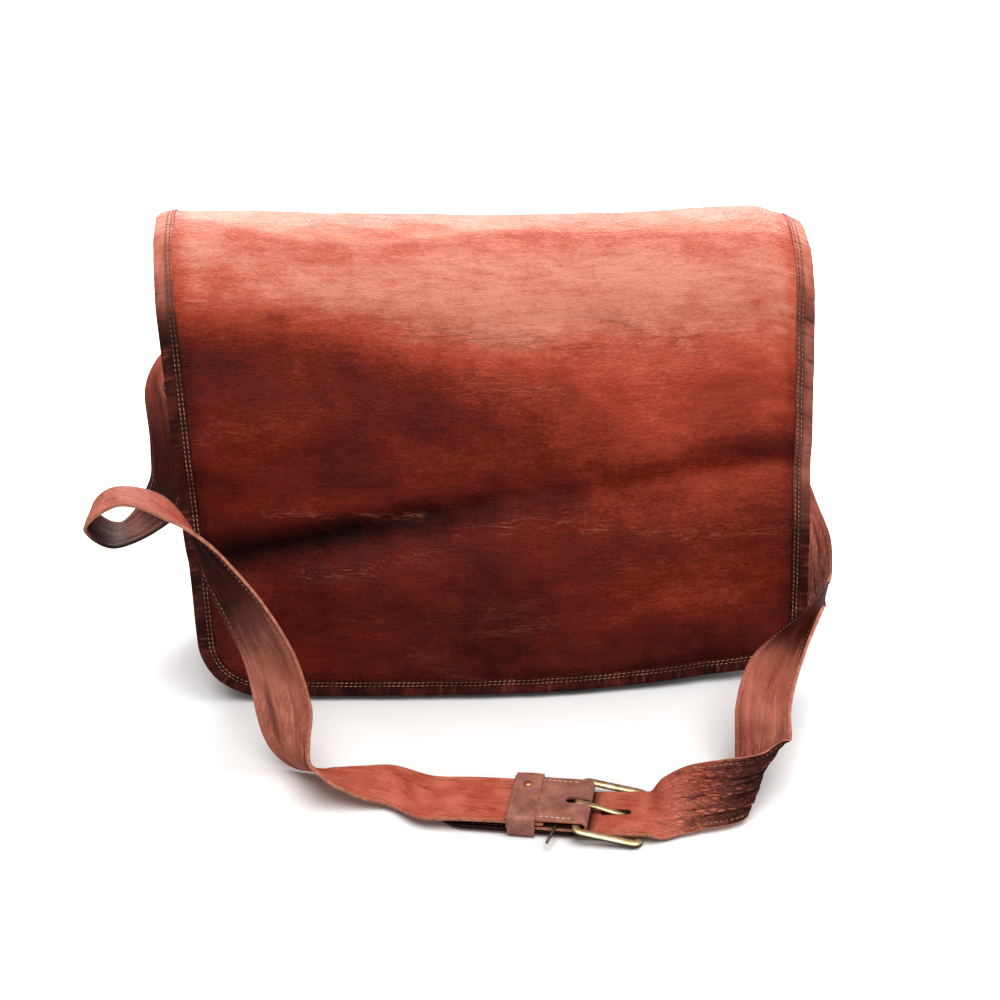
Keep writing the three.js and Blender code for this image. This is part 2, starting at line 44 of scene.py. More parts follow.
# Sizes shared with the part
LEATHER = 2
GAP = 0.3
BODY_TOP_HALF = 196
BODY_BASE_HALF = 200
BODY_CORNER = 40
BODY_DEPTH = 92
MOUTH = 240
BACK_TOP = 246
GUSSET_TOP = 244
GUSSET_ARCH = 26
GUSSET_ARCH_START = 180
FRONT_BELLY = 7
BACK_BELLY = 4
BACK_BELLY_ENDS = 200

FLAP_HALF = 203
FLAP_CORNER = 40
ROLL_RADIUS = 48
BACK_LENGTH = 45
FRONT_LENGTH = 258
ROLL_LENGTH = math.pi * ROLL_RADIUS
FLAP_LENGTH = BACK_LENGTH + ROLL_LENGTH + FRONT_LENGTH
BACK_GAP = 0.5
ROLL_Y = BODY_DEPTH / 2 + BACK_GAP + LEATHER / 2 - ROLL_RADIUS
HEM_ZONE = 60
HEM_HEIGHT = 5.5
HEM_RISE = 4
HEM_RISE_FROM = 40
HEM_TUCK = 5
TOP_HEIGHT = 315
TOP_TILT = 0.04
TOP_SAG = 4
TOP_SAG_HALF = 175
TOP_DROP_LEFT = 1
TOP_DROP_RIGHT = 11
TOP_DROP_START = 170
TOP_DROP_LENGTH = 38
TOP_DROOP = 3.2
TOP_DROOP_START = 190
TOP_DROOP_LENGTH = 14
TOP_DROOP_LIMIT = 1.1
FRONT_LEAN = 15
FRONT_SWELL = 14
SWELL_X = 25
SWELL_REACH = 240
FOLD_START = 0.25

BINDING_WIDTH = 10
BINDING_LIP = 1.9
STITCH_ROWS = (6.2, 8.6)

STRAP_HALF = 22
STRAP_THICK = 3
STRAP_SHOWN = 2.3
SEWN_LIFT = 0.4
LEFT_SEWN = (150, 197)
RIGHT_SEWN = (140, 188)
TAB_WALL = 1.8
TAB_ROOM = 0.7
TAB_LENGTH = 43
KEEPER_START = -42
KEEPER_LENGTH = 17
KEEPER_WALL = 1.6
BUCKLE_AT = (40, -214)
BUCKLE_TURN = math.radians(-12)
BUCKLE_PITCH = math.radians(10)
BUCKLE_LONG = 44
BUCKLE_WIDE = 57
BUCKLE_BAR = 5.5
BUCKLE_THICK = 3.2
BUCKLE_CORNER = 7
PRONG_WALL = 1.1
PRONG_TIP = (31.8, -0.6)
RIVET_AT = (-33.5, 10)
PIN_FROM = (-11, -15, 9.4)
PIN_TO = (-16, -36, 6.6)

TAIL_LEVEL = KEEPER_WALL + GAP + STRAP_THICK / 2
TAB_BOTTOM = TAIL_LEVEL + STRAP_THICK / 2 + GAP + TAB_WALL / 2
BAR_LEVEL = TAB_BOTTOM + TAB_WALL / 2 + TAB_ROOM + STRAP_THICK / 2
TAB_TOP = 2 * BAR_LEVEL - TAB_BOTTOM
KEEPER_TOP = TAB_TOP + TAB_WALL / 2 + GAP

# Folds of the flap's front: x1, z1, x2, z2, depth, width; a negative depth is a ridge
FLAP_FOLDS = [
    (-215, 97, -90, 121, 8, 17),
    (-90, 121, -45, 130, 6.3, 17),
    (-45, 130, -10, 136, 4.2, 16),
    (-10, 136, 25, 141, 2.2, 15),
    (5, 142, 215, 154, 5, 18),
    (-150, 205, 160, 222, -4, 45),
    (140, 205, 215, 212, 2.5, 14),
    (-150, 82, -60, 96, -3, 22),
]

# Finer creases of the flap, on its flat pattern: x1, t1, x2, t2, depth, width
FLAP_CREASES = [
    (-195, 183, -55, 197, 0.5, 3),
    (20, 236, 120, 224, 0.4, 4),
    (-190, 342, -110, 330, 1.0, 5),
    (-110, 330, -20, 316, 1.1, 6),
    (-20, 316, 60, 312, 0.7, 6),
    (60, 312, 190, 300, 0.9, 5),
    (30, 300, 150, 284, 0.7, 5),
    (150, 262, 198, 250, 0.9, 5),
    (120, 246, 195, 240, 0.6, 4),
    (150, 290, 196, 300, 0.8, 4),
    (-150, 375, -60, 392, 0.5, 5),
    (-40, 400, 60, 372, 0.5, 5),
    (70, 395, 170, 385, 0.5, 5),
    (-170, 280, -120, 300, 0.5, 4),
    (-60, 268, 40, 286, 0.4, 4),
]

# Straps: centre of each section and the direction across it, from the sewn end on
LEFT_ROUTE = [
    (-199.4, 0, 206, 0, -1, 0),
    (-203, 0, 215, 0, -1, 0),
    (-209, 0, 220, 0.08, -1, 0),
    (-215, 0, 211, 0.25, -0.97, 0.05),
    (-215.5, 1, 190, 0.55, -0.83, 0.08),
    (-215.5, -1, 154, 0.55, -0.83, 0.09),
    (-221, -4, 124, 0.5, -0.86, 0),
    (-251, -13, 104, 0.04, -0.99, 0.11),
    (-266, -31, 126, 0, -0.98, 0.16),
    (-243, -56, 155, 0.17, -0.96, 0.2),
    (-212, -84, 162, 0.08, -0.98, 0.19),
    (-191, -104, 153, 0.14, -0.89, 0.43),
    (-179, -113, 132, 0.35, -0.62, 0.7),
    (-162, -120, 103, 0.61, -0.54, 0.57),
    (-148, -130, 74, 0.77, -0.5, 0.39),
    (-141, -141, 43, 0.83, -0.43, 0.35),
    (-138, -154, 24, 0.62, -0.62, 0.48),
    (-131, -165, 16.5, 0.3, -0.76, 0.58),
    (-121, -171, 15, 0.03, -0.83, 0.56),
    (-111, -172, 11, 0, -0.92, 0.38),
    (-93, -173, 6.2, -0.04, -0.99, 0.16),
    (-76, -175, 4, -0.08, -0.99, 0.03),
]
RIGHT_ROUTE = [
    (199.3, 0, 195, 0, -1, 0),
    (200.7, 0, 201, 0, -1, 0),
    (203.5, 0, 205, 0, -1, 0),
    (206.5, 0, 199, -0.05, -1, 0),
    (207.5, -1, 160, -0.1, -0.99, 0),
    (209, -2, 120, -0.2, -0.98, 0.03),
    (214, -4, 91, -0.42, -0.9, 0.05),
    (220, -13, 64, -0.6, -0.8, 0.02),
    (219, -33, 48, -0.56, -0.83, -0.06),
    (216, -65, 58, -0.2, -0.92, 0.25),
    (200, -104, 70, 0.1, -0.83, 0.54),
    (182, -128, 66, 0.35, -0.85, 0.38),
    (166, -153, 58, 0.56, -0.8, 0.21),
    (158, -172, 45, 0.64, -0.72, 0.26),
    (155, -192, 33, 0.68, -0.52, 0.5),
    (148, -217, 21.5, 0.39, 0.5, 0.77),
    (118, -225, 20, 0.33, 0.55, 0.77),
    (102, -223, 15.5, 0.2, 0.78, 0.6),
    (90, -223, 10.5, 0.12, 0.92, 0.36),
]
LEFT_END = [
    (-95, BAR_LEVEL - 1.9),
    (-72, BAR_LEVEL - 0.8),
    (-50, BAR_LEVEL),
    (-35, BAR_LEVEL),
    (-20, BAR_LEVEL),
]
TONGUE = [
    (41, 7),
    (35, 6.4),
    (23, 5.2),
    (12, 4),
    (2, TAIL_LEVEL),
    (-25, TAIL_LEVEL),
    (-60, TAIL_LEVEL),
    (-91, TAIL_LEVEL),
]


def put(name, data):
    """Adds an object to the scene."""
    obj = bpy.data.objects.new(name, data)
    bpy.context.collection.objects.link(obj)
    return obj


# Camera at the photograph's angle
def add_camera():
    azimuth = math.radians(-2.1)
    elevation = math.radians(28)
    roll = math.radians(-1.88)
    distance = 1.4
    target = Vector((5, 0, 109)) * MM
    to_camera = Vector(
        (
            math.sin(azimuth) * math.cos(elevation),
            -math.cos(azimuth) * math.cos(elevation),
            math.sin(elevation),
        )
    )
    level = Vector((math.cos(azimuth), math.sin(azimuth), 0))
    upright = to_camera.cross(level)
    right = math.cos(roll) * level + math.sin(roll) * upright
    up = math.cos(roll) * upright - math.sin(roll) * level
    data = bpy.data.cameras.new("photo_camera")
    data.sensor_fit = "HORIZONTAL"
    data.sensor_width = 36
    data.lens = 74.34
    data.clip_end = 50
    camera = put("photo_camera", data)
    turn = Matrix((right, up, to_camera)).transposed().to_4x4()
    camera.matrix_world = Matrix.Translation(target + distance * to_camera) @ turn
    bpy.context.scene.camera = camera


add_camera()


# Shapes as functions of a flat pattern, on arrays of numbers
def ease(value):
    value = np.clip(value, 0, 1)
    return value * value * (3 - 2 * value)


def fade(value, start, length):
    """From 1 before the start to 0 past the length."""
    return 1 - ease((value - start) / length)


def stretch(value, start, rise, end, fall):
    """1 on a stretch with soft ends, and 0 beside it."""
    return ease((value - start) / rise) * fade(value, end, fall)


def bell(value):
    return np.exp(-(value**2))


def blend(low, high, share):
    return low + (high - low) * share


def stack(x, y, z):
    return np.stack(np.broadcast_arrays(x, y, z), axis=-1).astype(float)


def unit(vectors):
    return vectors / np.linalg.norm(vectors, axis=-1, keepdims=True)


def lengths_along(points):
    """The length from the first of the points to each of them."""
    return np.concatenate([[0], np.cumsum(np.linalg.norm(np.diff(points, axis=0), axis=1))])


def points_at(where, reach, points):
    """Points at some lengths, between points whose lengths are in reach."""
    return np.stack([np.interp(where, reach, points[:, axis]) for axis in range(3)], axis=1)


def hills(x, y, seed):
    """Smooth random hills, one unit wide, from -1 to 1."""
    size = 64
    heights = np.random.default_rng(seed).uniform(-1, 1, (size, size))
    x, y = np.broadcast_arrays(np.asarray(x, float), np.asarray(y, float))
    column, row = np.floor(x).astype(int), np.floor(y).astype(int)
    right, up = ease(x - column), ease(y - row)

    def corner(i, j):
        return heights[(row + j) % size, (column + i) % size]

    low = blend(corner(0, 0), corner(1, 0), right)
    high = blend(corner(0, 1), corner(1, 1), right)
    return blend(low, high, up)


def line_distance(x, y, x1, y1, x2, y2):
    along = ((x - x1) * (x2 - x1) + (y - y1) * (y2 - y1)) / ((x2 - x1) ** 2 + (y2 - y1) ** 2)
    along = np.clip(along, 0, 1)
    return np.hypot(x - x1 - along * (x2 - x1), y - y1 - along * (y2 - y1))


def merge(dents):
    """Dents that run into one another, with no deeper spot where they meet."""
    return sum(dent**4 for dent in dents) ** 0.25


def furrows(lines, x, y):
    return merge(
        depth * bell(line_distance(x, y, x1, y1, x2, y2) / width)
        for x1, y1, x2, y2, depth, width in lines
    )


def fold_depth(x, z):
    """How far the folds draw the flap's front in: steeply above each line, gently below it."""
    valleys, ridges = [], 0
    for x1, z1, x2, z2, depth, width in FLAP_FOLDS:
        line_z = z1 + (z2 - z1) * (x - x1) / (x2 - x1)
        steep, gentle = (0.85, 1.7) if depth > 0 else (1, 1)
        reach = width * blend(steep, gentle, ease((line_z - z) / width + 0.5))
        dent = depth * bell(line_distance(x, z, x1, z1, x2, z2) / reach)
        if depth > 0:
            valleys.append(dent)
        else:
            ridges = ridges + dent
    return merge(valleys) + ridges


def top_line(x):
    """Height of the top roll: tilted, sagging in the middle, with lower, rounded corners."""
    drop = np.where(x < 0, TOP_DROP_LEFT, TOP_DROP_RIGHT)
    corners = drop * ease((np.abs(x) - TOP_DROP_START) / TOP_DROP_LENGTH)
    past = np.clip((np.abs(x) - TOP_DROOP_START) / TOP_DROOP_LENGTH, 0, TOP_DROOP_LIMIT)
    sag = TOP_SAG * (1 - (x / TOP_SAG_HALF) ** 2)
    return TOP_HEIGHT - TOP_TILT * x - sag - corners - TOP_DROOP * past**2


def drape(x, t):
    """Points of the bag's flap, from x across its flat pattern and t from its sewn edge."""
    x, t = np.broadcast_arrays(np.asarray(x, float), np.asarray(t, float))
    shoulder = top_line(x) - LEATHER / 2 - ROLL_RADIUS
    past = t - BACK_LENGTH
    turn = np.clip(past, 0, ROLL_LENGTH) / ROLL_RADIUS
    height = 1 - np.clip(past - ROLL_LENGTH, 0, None) / FRONT_LENGTH
    low = HEM_HEIGHT + HEM_RISE * ease((x - HEM_RISE_FROM) / (FLAP_HALF - HEM_RISE_FROM))
    front_z = blend(low, shoulder, height)
    middle = np.cos(np.pi / 2 * np.clip((x - SWELL_X) / SWELL_REACH, -1, 1)) ** 2
    folds = fold_depth(x, front_z) * ease((1 - height) / FOLD_START)
    swell = (FRONT_LEAN + FRONT_SWELL * middle) * (1 - height**2) - folds
    on_front = past > ROLL_LENGTH
    z = np.where(on_front, front_z, shoulder + np.minimum(past, 0) + ROLL_RADIUS * np.sin(turn))
    y = ROLL_Y + ROLL_RADIUS * np.cos(turn) - np.where(on_front, swell, 0)
    tuck = HEM_TUCK * (1 - height) * (0.5 - 0.5 * x / FLAP_HALF)
    sideways = np.where(on_front, tuck, 0)
    return stack(x + sideways, y, z)


def flap_relief(x, t):
    """Small rise and fall of the flap's leather, in millimetres."""
    edge = np.minimum(FLAP_HALF - np.abs(x), FLAP_LENGTH - t)
    on_bag = ease((t - 60) / 40)
    waves = 0.9 * hills(x / 46, t / 24, 3) + 0.4 * hills(x / 17, t / 9, 4)
    pucker = 0.45 * hills(x / 8, t / 8, 5) * bell((edge - 13) / 7)
    return on_bag * (waves + pucker - furrows(FLAP_CREASES, x, t))


def on_flap(x, t, offset):
    reach = 1.0
    across = drape(x + reach, t) - drape(x - reach, t)
    along = drape(x, t + reach) - drape(x, t - reach)
    outward = unit(np.cross(along, across))
    rise = np.asarray(offset + flap_relief(x, t))[..., None]
    return drape(x, t) + outward * rise


def hem_limit(x):
    past = np.maximum(np.abs(x) - (FLAP_HALF - FLAP_CORNER), 0)
    return FLAP_LENGTH - FLAP_CORNER + np.sqrt(np.maximum(FLAP_CORNER**2 - past**2, 0))


def body_half(z):
    z = np.asarray(z, float)
    side = blend(BODY_BASE_HALF, BODY_TOP_HALF, z / MOUTH)
    below = np.clip(BODY_CORNER - z, 0, BODY_CORNER)
    return side - BODY_CORNER + np.sqrt(BODY_CORNER**2 - below**2)


def at_buckle(along, across, height):
    x = BUCKLE_AT[0] + along * math.cos(BUCKLE_TURN) - across * math.sin(BUCKLE_TURN)
    y = BUCKLE_AT[1] + along * math.sin(BUCKLE_TURN) + across * math.cos(BUCKLE_TURN)
    return stack(x, y, height)


def smooth_path(points, share):
    """The part's own smooth curve through the points, at shares from 0 to 1."""
    first = 2 * points[0] - points[1]
    last = 2 * points[-1] - points[-2]
    held = np.vstack([first, points, last])
    place = np.clip(share, 0, 1) * (len(points) - 1)
    piece = np.minimum(place.astype(int), len(points) - 2)
    part = (place - piece)[:, None]
    p0, p1, p2, p3 = (held[piece + i] for i in range(4))
    d0, d1, d2 = (
        np.maximum(np.linalg.norm(b - a, axis=1, keepdims=True), 1e-8) ** 0.5
        for a, b in ((p0, p1), (p1, p2), (p2, p3))
    )
    d1 = np.where(d1 < 1e-4, 1, d1)
    d0 = np.where(d0 < 1e-4, d1, d0)
    d2 = np.where(d2 < 1e-4, d1, d2)
    t1 = ((p1 - p0) / d0 - (p2 - p0) / (d0 + d1) + (p2 - p1) / d1) * d1
    t2 = ((p2 - p1) / d1 - (p3 - p1) / (d1 + d2) + (p3 - p2) / d2) * d1
    square = 3 * (p2 - p1) - 2 * t1 - t2
    cube = 2 * (p1 - p2) + t1 + t2
    return p1 + part * (t1 + part * (square + part * cube))


class Route:
    """A strap's middle line by length, and the direction across it."""

    def __init__(self, rows):
        rows = np.array(rows, float)
        self.centres = rows[:, :3]
        self.acrosses = unit(rows[:, 3:])
        self.shares = np.linspace(0, 1, 6001)
        self.lengths = lengths_along(smooth_path(self.centres, self.shares))
        self.length = self.lengths[-1]

    def __call__(self, s):
        share = np.interp(s, self.lengths, self.shares)
        return smooth_path(self.centres, share), unit(smooth_path(self.acrosses, share))


def sewn_rows(sign, low, high):
    rows = []
    for rise in (0, 0.5, 1):
        z = blend(low, high, rise)
        x = sign * (float(body_half(z)) + GAP + STRAP_THICK / 2 + SEWN_LIFT * rise)
        rows.append((x, 0, z, 0, -1, 0))
    return rows


def buckle_rows(stations, facing):
    across = at_buckle(0, facing, 0) - at_buckle(0, 0, 0)
    return [(*at_buckle(along, 0, height), *across) for along, height in stations]


LEFT = Route(sewn_rows(-1, *LEFT_SEWN) + LEFT_ROUTE + buckle_rows(LEFT_END, -1))
RIGHT = Route(sewn_rows(1, *RIGHT_SEWN) + RIGHT_ROUTE + buckle_rows(TONGUE, 1))


# Meshes
def carry(bm, points, pattern):
    """Takes the grid's corners to their points and stores their spots on the flat pattern."""
    layer = bm.verts.layers.float_vector.new("pattern")
    for vert, point, spot in zip(bm.verts, points * MM, pattern * MM):
        vert.co = point
        vert[layer] = spot


def sheet(columns, rows, place):
    """A grid carried to place(u, v), which gives its points and their spots on the flat pattern."""
    bm = bmesh.new()
    bmesh.ops.create_grid(bm, x_segments=columns, y_segments=rows, size=0.5)
    flat = np.array([vert.co[:] for vert in bm.verts]) + 0.5
    carry(bm, *place(flat[:, 0], flat[:, 1]))
    return bm


class Band:
    """A strip: a middle line with a direction across, a width, a thickness and its faces' skin."""

    def __init__(self, length, line, half_width, half_thick, skin=None, rim=0.8):
        self.length = length
        self.line = line
        self.half_width = half_width
        self.half_thick = half_thick
        self.skin = skin
        self.rim = rim

    def middle(self, s, v):
        centre, across = self.line(np.clip(s, 0, self.length))
        return centre + across * v[:, None]

    def outward(self, s, v):
        reach = 0.4
        along = self.middle(s + reach, v) - self.middle(s - reach, v)
        return -unit(np.cross(along, self.line(s)[1]))

    def surface(self, s, v, level):
        """Points at the level from -1, the inner face, to 1, the outer face."""
        s, v, level = np.broadcast_arrays(np.asarray(s, float), v, level)
        rise = level * self.half_thick
        if self.skin:
            rise = rise + np.sign(level) * np.abs(level) * self.skin(s, v, level)
        return self.middle(s, v) + self.outward(s, v) * rise[:, None]

    def section(self, columns):
        """Round the strip's section: share of the width, reach out on the rim, level and face."""
        run = np.linspace(-1, 1, columns + 1)
        turns = np.radians([52, 0, -52])
        spots = [(share, 0, 1, 0) for share in run]
        spots += [(1, math.cos(a), math.sin(a), 1) for a in turns]
        spots += [(share, 0, -1, 2) for share in run[::-1]]
        spots += [(-1, -math.cos(a), -math.sin(a), 1) for a in turns]
        return np.array(spots + spots[:1])

    def mesh(self, rows, columns, closed=False):
        section = self.section(columns)
        around = len(section) - 1
        bm = bmesh.new()
        bmesh.ops.create_grid(bm, x_segments=around, y_segments=rows, size=0.5)
        for face in bm.faces:
            cell = int((face.calc_center_median().x + 0.5) * around)
            kinds = section[cell, 3], section[cell + 1, 3]
            face.material_index = int(kinds[0]) if kinds[0] == kinds[1] else 1
        flat = np.array([vert.co[:] for vert in bm.verts]) + 0.5
        share, out, level, _ = section[np.rint(flat[:, 0] * around).astype(int)].T
        s = flat[:, 1] * self.length
        half = self.half_width(s)
        rim = np.minimum(self.rim, half / 2)
        v = share * (half - rim) + out * rim
        carry(bm, self.surface(s, v, level), stack(s, v, level))
        bmesh.ops.remove_doubles(bm, verts=bm.verts, dist=1e-6)
        if not closed:
            ends = [edge for edge in bm.edges if edge.is_boundary]
            caps = bmesh.ops.holes_fill(bm, edges=ends, sides=0)
            for face in caps["faces"]:
                face.material_index = 1
        bmesh.ops.recalc_face_normals(bm, faces=bm.faces)
        return bm


SHARP_ANGLE = math.radians(40)


def mesh_from(name, bm):
    mesh = bpy.data.meshes.new(name)
    bm.to_mesh(mesh)
    bm.free()
    return mesh


def add_piece(name, bm, finishes, node):
    """Adds a piece that stands for the part's node, with a finish for each of its faces' kinds."""
    mesh = mesh_from(name, bm)
    for finish in finishes:
        mesh.materials.append(finish)
    mesh.shade_smooth()
    mesh.set_sharp_from_angle(angle=SHARP_ANGLE)
    obj = put(name, mesh)
    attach(obj, "root")
    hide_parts(node)
    return obj


def settle(obj):
    """Applies the piece's modifiers, so its mesh is what shows."""
    graph = bpy.context.evaluated_depsgraph_get()
    shaped = bpy.data.meshes.new_from_object(obj.evaluated_get(graph))
    obj.modifiers.clear()
    old = obj.data
    obj.data = shaped
    bpy.data.meshes.remove(old)
    shaped.set_sharp_from_angle(angle=SHARP_ANGLE)


def thicken(obj, thickness):
    """Gives a sheet its thickness; its second finish is for the inner face and the edge."""
    solid = obj.modifiers.new("thickness", "SOLIDIFY")
    solid.thickness = thickness * MM
    solid.offset = 0
    solid.use_even_offset = False
    solid.material_offset = 1
    solid.material_offset_rim = 1
    settle(obj)


def punch(obj, bm):
    """Cuts the shape in bm out of the piece."""
    mesh = mesh_from("punch", bm)
    tool = put("punch", mesh)
    cut = obj.modifiers.new("punch", "BOOLEAN")
    cut.operation = "DIFFERENCE"
    cut.solver = "EXACT"
    cut.object = tool
    bpy.context.view_layer.update()
    settle(obj)
    bpy.data.objects.remove(tool)
    bpy.data.meshes.remove(mesh)


def buckle_matrix(tilted=False):
    place = Matrix.Translation((*BUCKLE_AT, 0)) @ Matrix.Rotation(BUCKLE_TURN, 4, "Z")
    if tilted:
        lift = Matrix.Translation((0, 0, BAR_LEVEL))
        place = place @ lift @ Matrix.Rotation(BUCKLE_PITCH, 4, "Y")
    return Matrix.Scale(MM, 4) @ place


def slot_tool(along, length, width, low, high):
    """A round-ended slot at the buckle, as a tool for punch."""
    bm = bmesh.new()
    spread = (length - width) / 2
    bmesh.ops.create_circle(bm, cap_ends=True, segments=24, radius=width / 2)
    for vert in bm.verts:
        vert.co.x += math.copysign(spread, vert.co.x) + along
        vert.co.z = low
    grown = bmesh.ops.extrude_face_region(bm, geom=bm.faces[:])
    raised = [item for item in grown["geom"] if isinstance(item, bmesh.types.BMVert)]
    bmesh.ops.translate(bm, verts=raised, vec=(0, 0, high - low))
    bmesh.ops.recalc_face_normals(bm, faces=bm.faces)
    bmesh.ops.transform(bm, matrix=buckle_matrix(), verts=bm.verts)
    return bm


# Stitches: half of their length, width and height, their slant, and the pitch of each kind of row
STITCH_SIZE = (1.25, 0.42, 0.36)
STITCH_SLANT = 0.12
STITCH_LOOK = 0.6
BINDING_PITCH = 3.2
TAB_PITCH = 3.3
SEAM_PITCH = 3.4
BODY_PITCH = 3.6


def stitch_shape():
    bm = bmesh.new()
    bmesh.ops.create_uvsphere(bm, u_segments=6, v_segments=4, radius=1)
    bmesh.ops.rotate(bm, verts=bm.verts, matrix=Matrix.Rotation(math.pi / 2, 3, "Y"))
    mesh = mesh_from("stitch", bm)
    corners = np.array([vert.co[:] for vert in mesh.vertices])
    faces = [tuple(face.vertices) for face in mesh.polygons]
    bpy.data.meshes.remove(mesh)
    return corners, faces


STITCH_CORNERS, STITCH_FACES = stitch_shape()


def stitch_row(points, normals, pitch):
    """Corners of the stitches along a line of points, each lying half sunk in the leather."""
    reach = lengths_along(points)
    count = max(int(reach[-1] / pitch), 1)
    at = (np.arange(count) + 0.5) * reach[-1] / count
    centre = points_at(at, reach, points)
    after = points_at(np.minimum(at + STITCH_LOOK, reach[-1]), reach, points)
    before = points_at(np.maximum(at - STITCH_LOOK, 0), reach, points)
    ahead = unit(after - before)
    up = points_at(at, reach, normals)
    up = unit(up - ahead * np.sum(up * ahead, axis=1, keepdims=True))
    aside = np.cross(up, ahead)
    uneven = STITCH_SLANT + 0.09 * hills(at / pitch * 0.9, 0.5, count)
    ahead, aside = ahead + aside * uneven[:, None], aside - ahead * uneven[:, None]
    longer = 1 + 0.1 * hills(at / pitch * 0.7, 2.5, count)
    long, wide, high = STITCH_SIZE
    axes = np.stack([ahead * (long * longer)[:, None], aside * wide, up * high], axis=1)
    return centre[:, None, :] + np.einsum("kc,ncd->nkd", STITCH_CORNERS, axes)


def add_stitching(name, rows, finish):
    """One joined piece of all the stitches in the rows."""
    corners = np.concatenate(rows).reshape(-1, 3) * MM
    step = len(STITCH_CORNERS)
    faces = [
        tuple(start + corner for corner in face)
        for start in range(0, len(corners), step)
        for face in STITCH_FACES
    ]
    mesh = bpy.data.meshes.new(name)
    mesh.from_pydata(corners.tolist(), [], faces)
    mesh.materials.append(finish)
    mesh.shade_smooth()
    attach(put(name, mesh), "root")


# Finishes
def paint(red, green, blue):
    """A colour as seen on a screen, 0 to 255, as the shader's linear one."""
    return tuple((value / 255) ** 2.2 for value in (red, green, blue)) + (1.0,)


# Painted deep shade: the colour given to leather that lies in deep shade, at the bottom of the left
# strap's loop and on the right strap's tail under the buckle tab.
DEEP_SHADE_COLOUR = paint(34, 14, 10)
LOW_SHEEN = 0.35


class Value:
    """A number in a finish's nodes: arithmetic on it adds Math nodes."""

    def __init__(self, finish, socket):
        self.finish = finish
        self.socket = socket

    def maths(self, operation, first, second):
        return self.finish.node("ShaderNodeMath", {"operation": operation}, {0: first, 1: second})

    def __add__(self, other):
        return self.maths("ADD", self, other)

    __radd__ = __add__

    def __sub__(self, other):
        return self.maths("SUBTRACT", self, other)

    def __rsub__(self, other):
        return self.maths("SUBTRACT", other, self)

    def __mul__(self, other):
        return self.maths("MULTIPLY", self, other)

    __rmul__ = __mul__

    def __abs__(self):
        return self.maths("ABSOLUTE", self, 0)


class Nodes:
    """A node tree, and the one way in which nodes are added to it."""

    def __init__(self, holder):
        holder.use_nodes = True
        self.nodes = holder.node_tree.nodes
        self.links = holder.node_tree.links
        self.nodes.clear()

    def node(self, kind, settings, sockets, output=0):
        made = self.nodes.new(kind)
        for name, value in settings.items():
            if name == "stops":
                self.set_stops(made.color_ramp, value)
            else:
                setattr(made, name, value)
        for key, value in sockets.items():
            if isinstance(value, Value):
                self.links.new(value.socket, made.inputs[key])
            else:
                made.inputs[key].default_value = value
        return Value(self, made.outputs[output]) if made.outputs else None

    @staticmethod
    def set_stops(ramp, stops):
        while len(ramp.elements) < len(stops):
            ramp.elements.new(1)
        for element, (position, colour) in zip(ramp.elements, stops):
            element.position = position
            element.color = colour

    def ramp(self, value, stops):
        return self.node("ShaderNodeValToRGB", {"stops": stops}, {0: value})


class Finish(Nodes):
    """A material for one of the bag's surfaces."""

    def __init__(self, name):
        self.material = bpy.data.materials.new(name)
        super().__init__(self.material)

    def pattern(self, stretch=(1, 1, 1)):
        """The spot on the piece's flat pattern, in metres, stretched."""
        spot = self.node("ShaderNodeAttribute", {"attribute_name": "pattern"}, {}, "Vector")
        return self.node("ShaderNodeVectorMath", {"operation": "MULTIPLY"}, {0: spot, 1: stretch})

    def turned(self, angle, stretch):
        """The flat pattern turned in its plane, then stretched."""
        sockets = {"Vector": self.pattern(), "Rotation": (0, 0, angle), "Scale": stretch}
        return self.node("ShaderNodeMapping", {"vector_type": "TEXTURE"}, sockets)

    def crumpled(self, spot, scale, reach):
        """The spot moved about by up to the reach, so that cells drawn on it come out uneven."""
        drift = self.node("ShaderNodeTexNoise", {}, {"Vector": spot, "Scale": scale}, "Color")
        sockets = {0: drift, 1: (reach, reach, reach), 2: spot}
        return self.node("ShaderNodeVectorMath", {"operation": "MULTIPLY_ADD"}, sockets)

    def tone(self, name):
        return self.node("ShaderNodeAttribute", {"attribute_name": name}, {}, "Fac")

    def place(self):
        return self.node("ShaderNodeTexCoord", {}, {}, "Object")

    def noise(self, spot, scale, detail=3, roughness=0.55, distortion=0):
        sockets = {"Vector": spot, "Scale": scale, "Detail": detail}
        sockets |= {"Roughness": roughness, "Distortion": distortion}
        return self.node("ShaderNodeTexNoise", {}, sockets)

    def cracks(self, spot, scale):
        sockets = {"Vector": spot, "Scale": scale}
        return self.node("ShaderNodeTexVoronoi", {"feature": "DISTANCE_TO_EDGE"}, sockets)

    def step(self, value, low, high):
        sockets = {"Value": value, "From Min": low, "From Max": high, "To Min": 0, "To Max": 1}
        return self.node("ShaderNodeMapRange", {"interpolation_type": "SMOOTHSTEP"}, sockets)

    def mix(self, factor, first, second):
        sockets = {0: factor, 6: first, 7: second}
        return self.node("ShaderNodeMix", {"data_type": "RGBA"}, sockets, 2)

    def bump(self, height, strength, distance, below=None):
        sockets = {"Height": height, "Strength": strength, "Distance": distance}
        if below:
            sockets["Normal"] = below
        return self.node("ShaderNodeBump", {}, sockets)

    def close(self, colour, roughness, normal=None, specular=0.5, metallic=0):
        """Ends the nodes in one shader and gives the material."""
        sockets = {"Base Color": colour, "Roughness": roughness, "Metallic": metallic}
        sockets["Specular IOR Level"] = specular
        if normal:
            sockets["Normal"] = normal
        shader = self.node("ShaderNodeBsdfPrincipled", {}, sockets)
        self.node("ShaderNodeOutputMaterial", {}, {"Surface": shader})
        return self.material


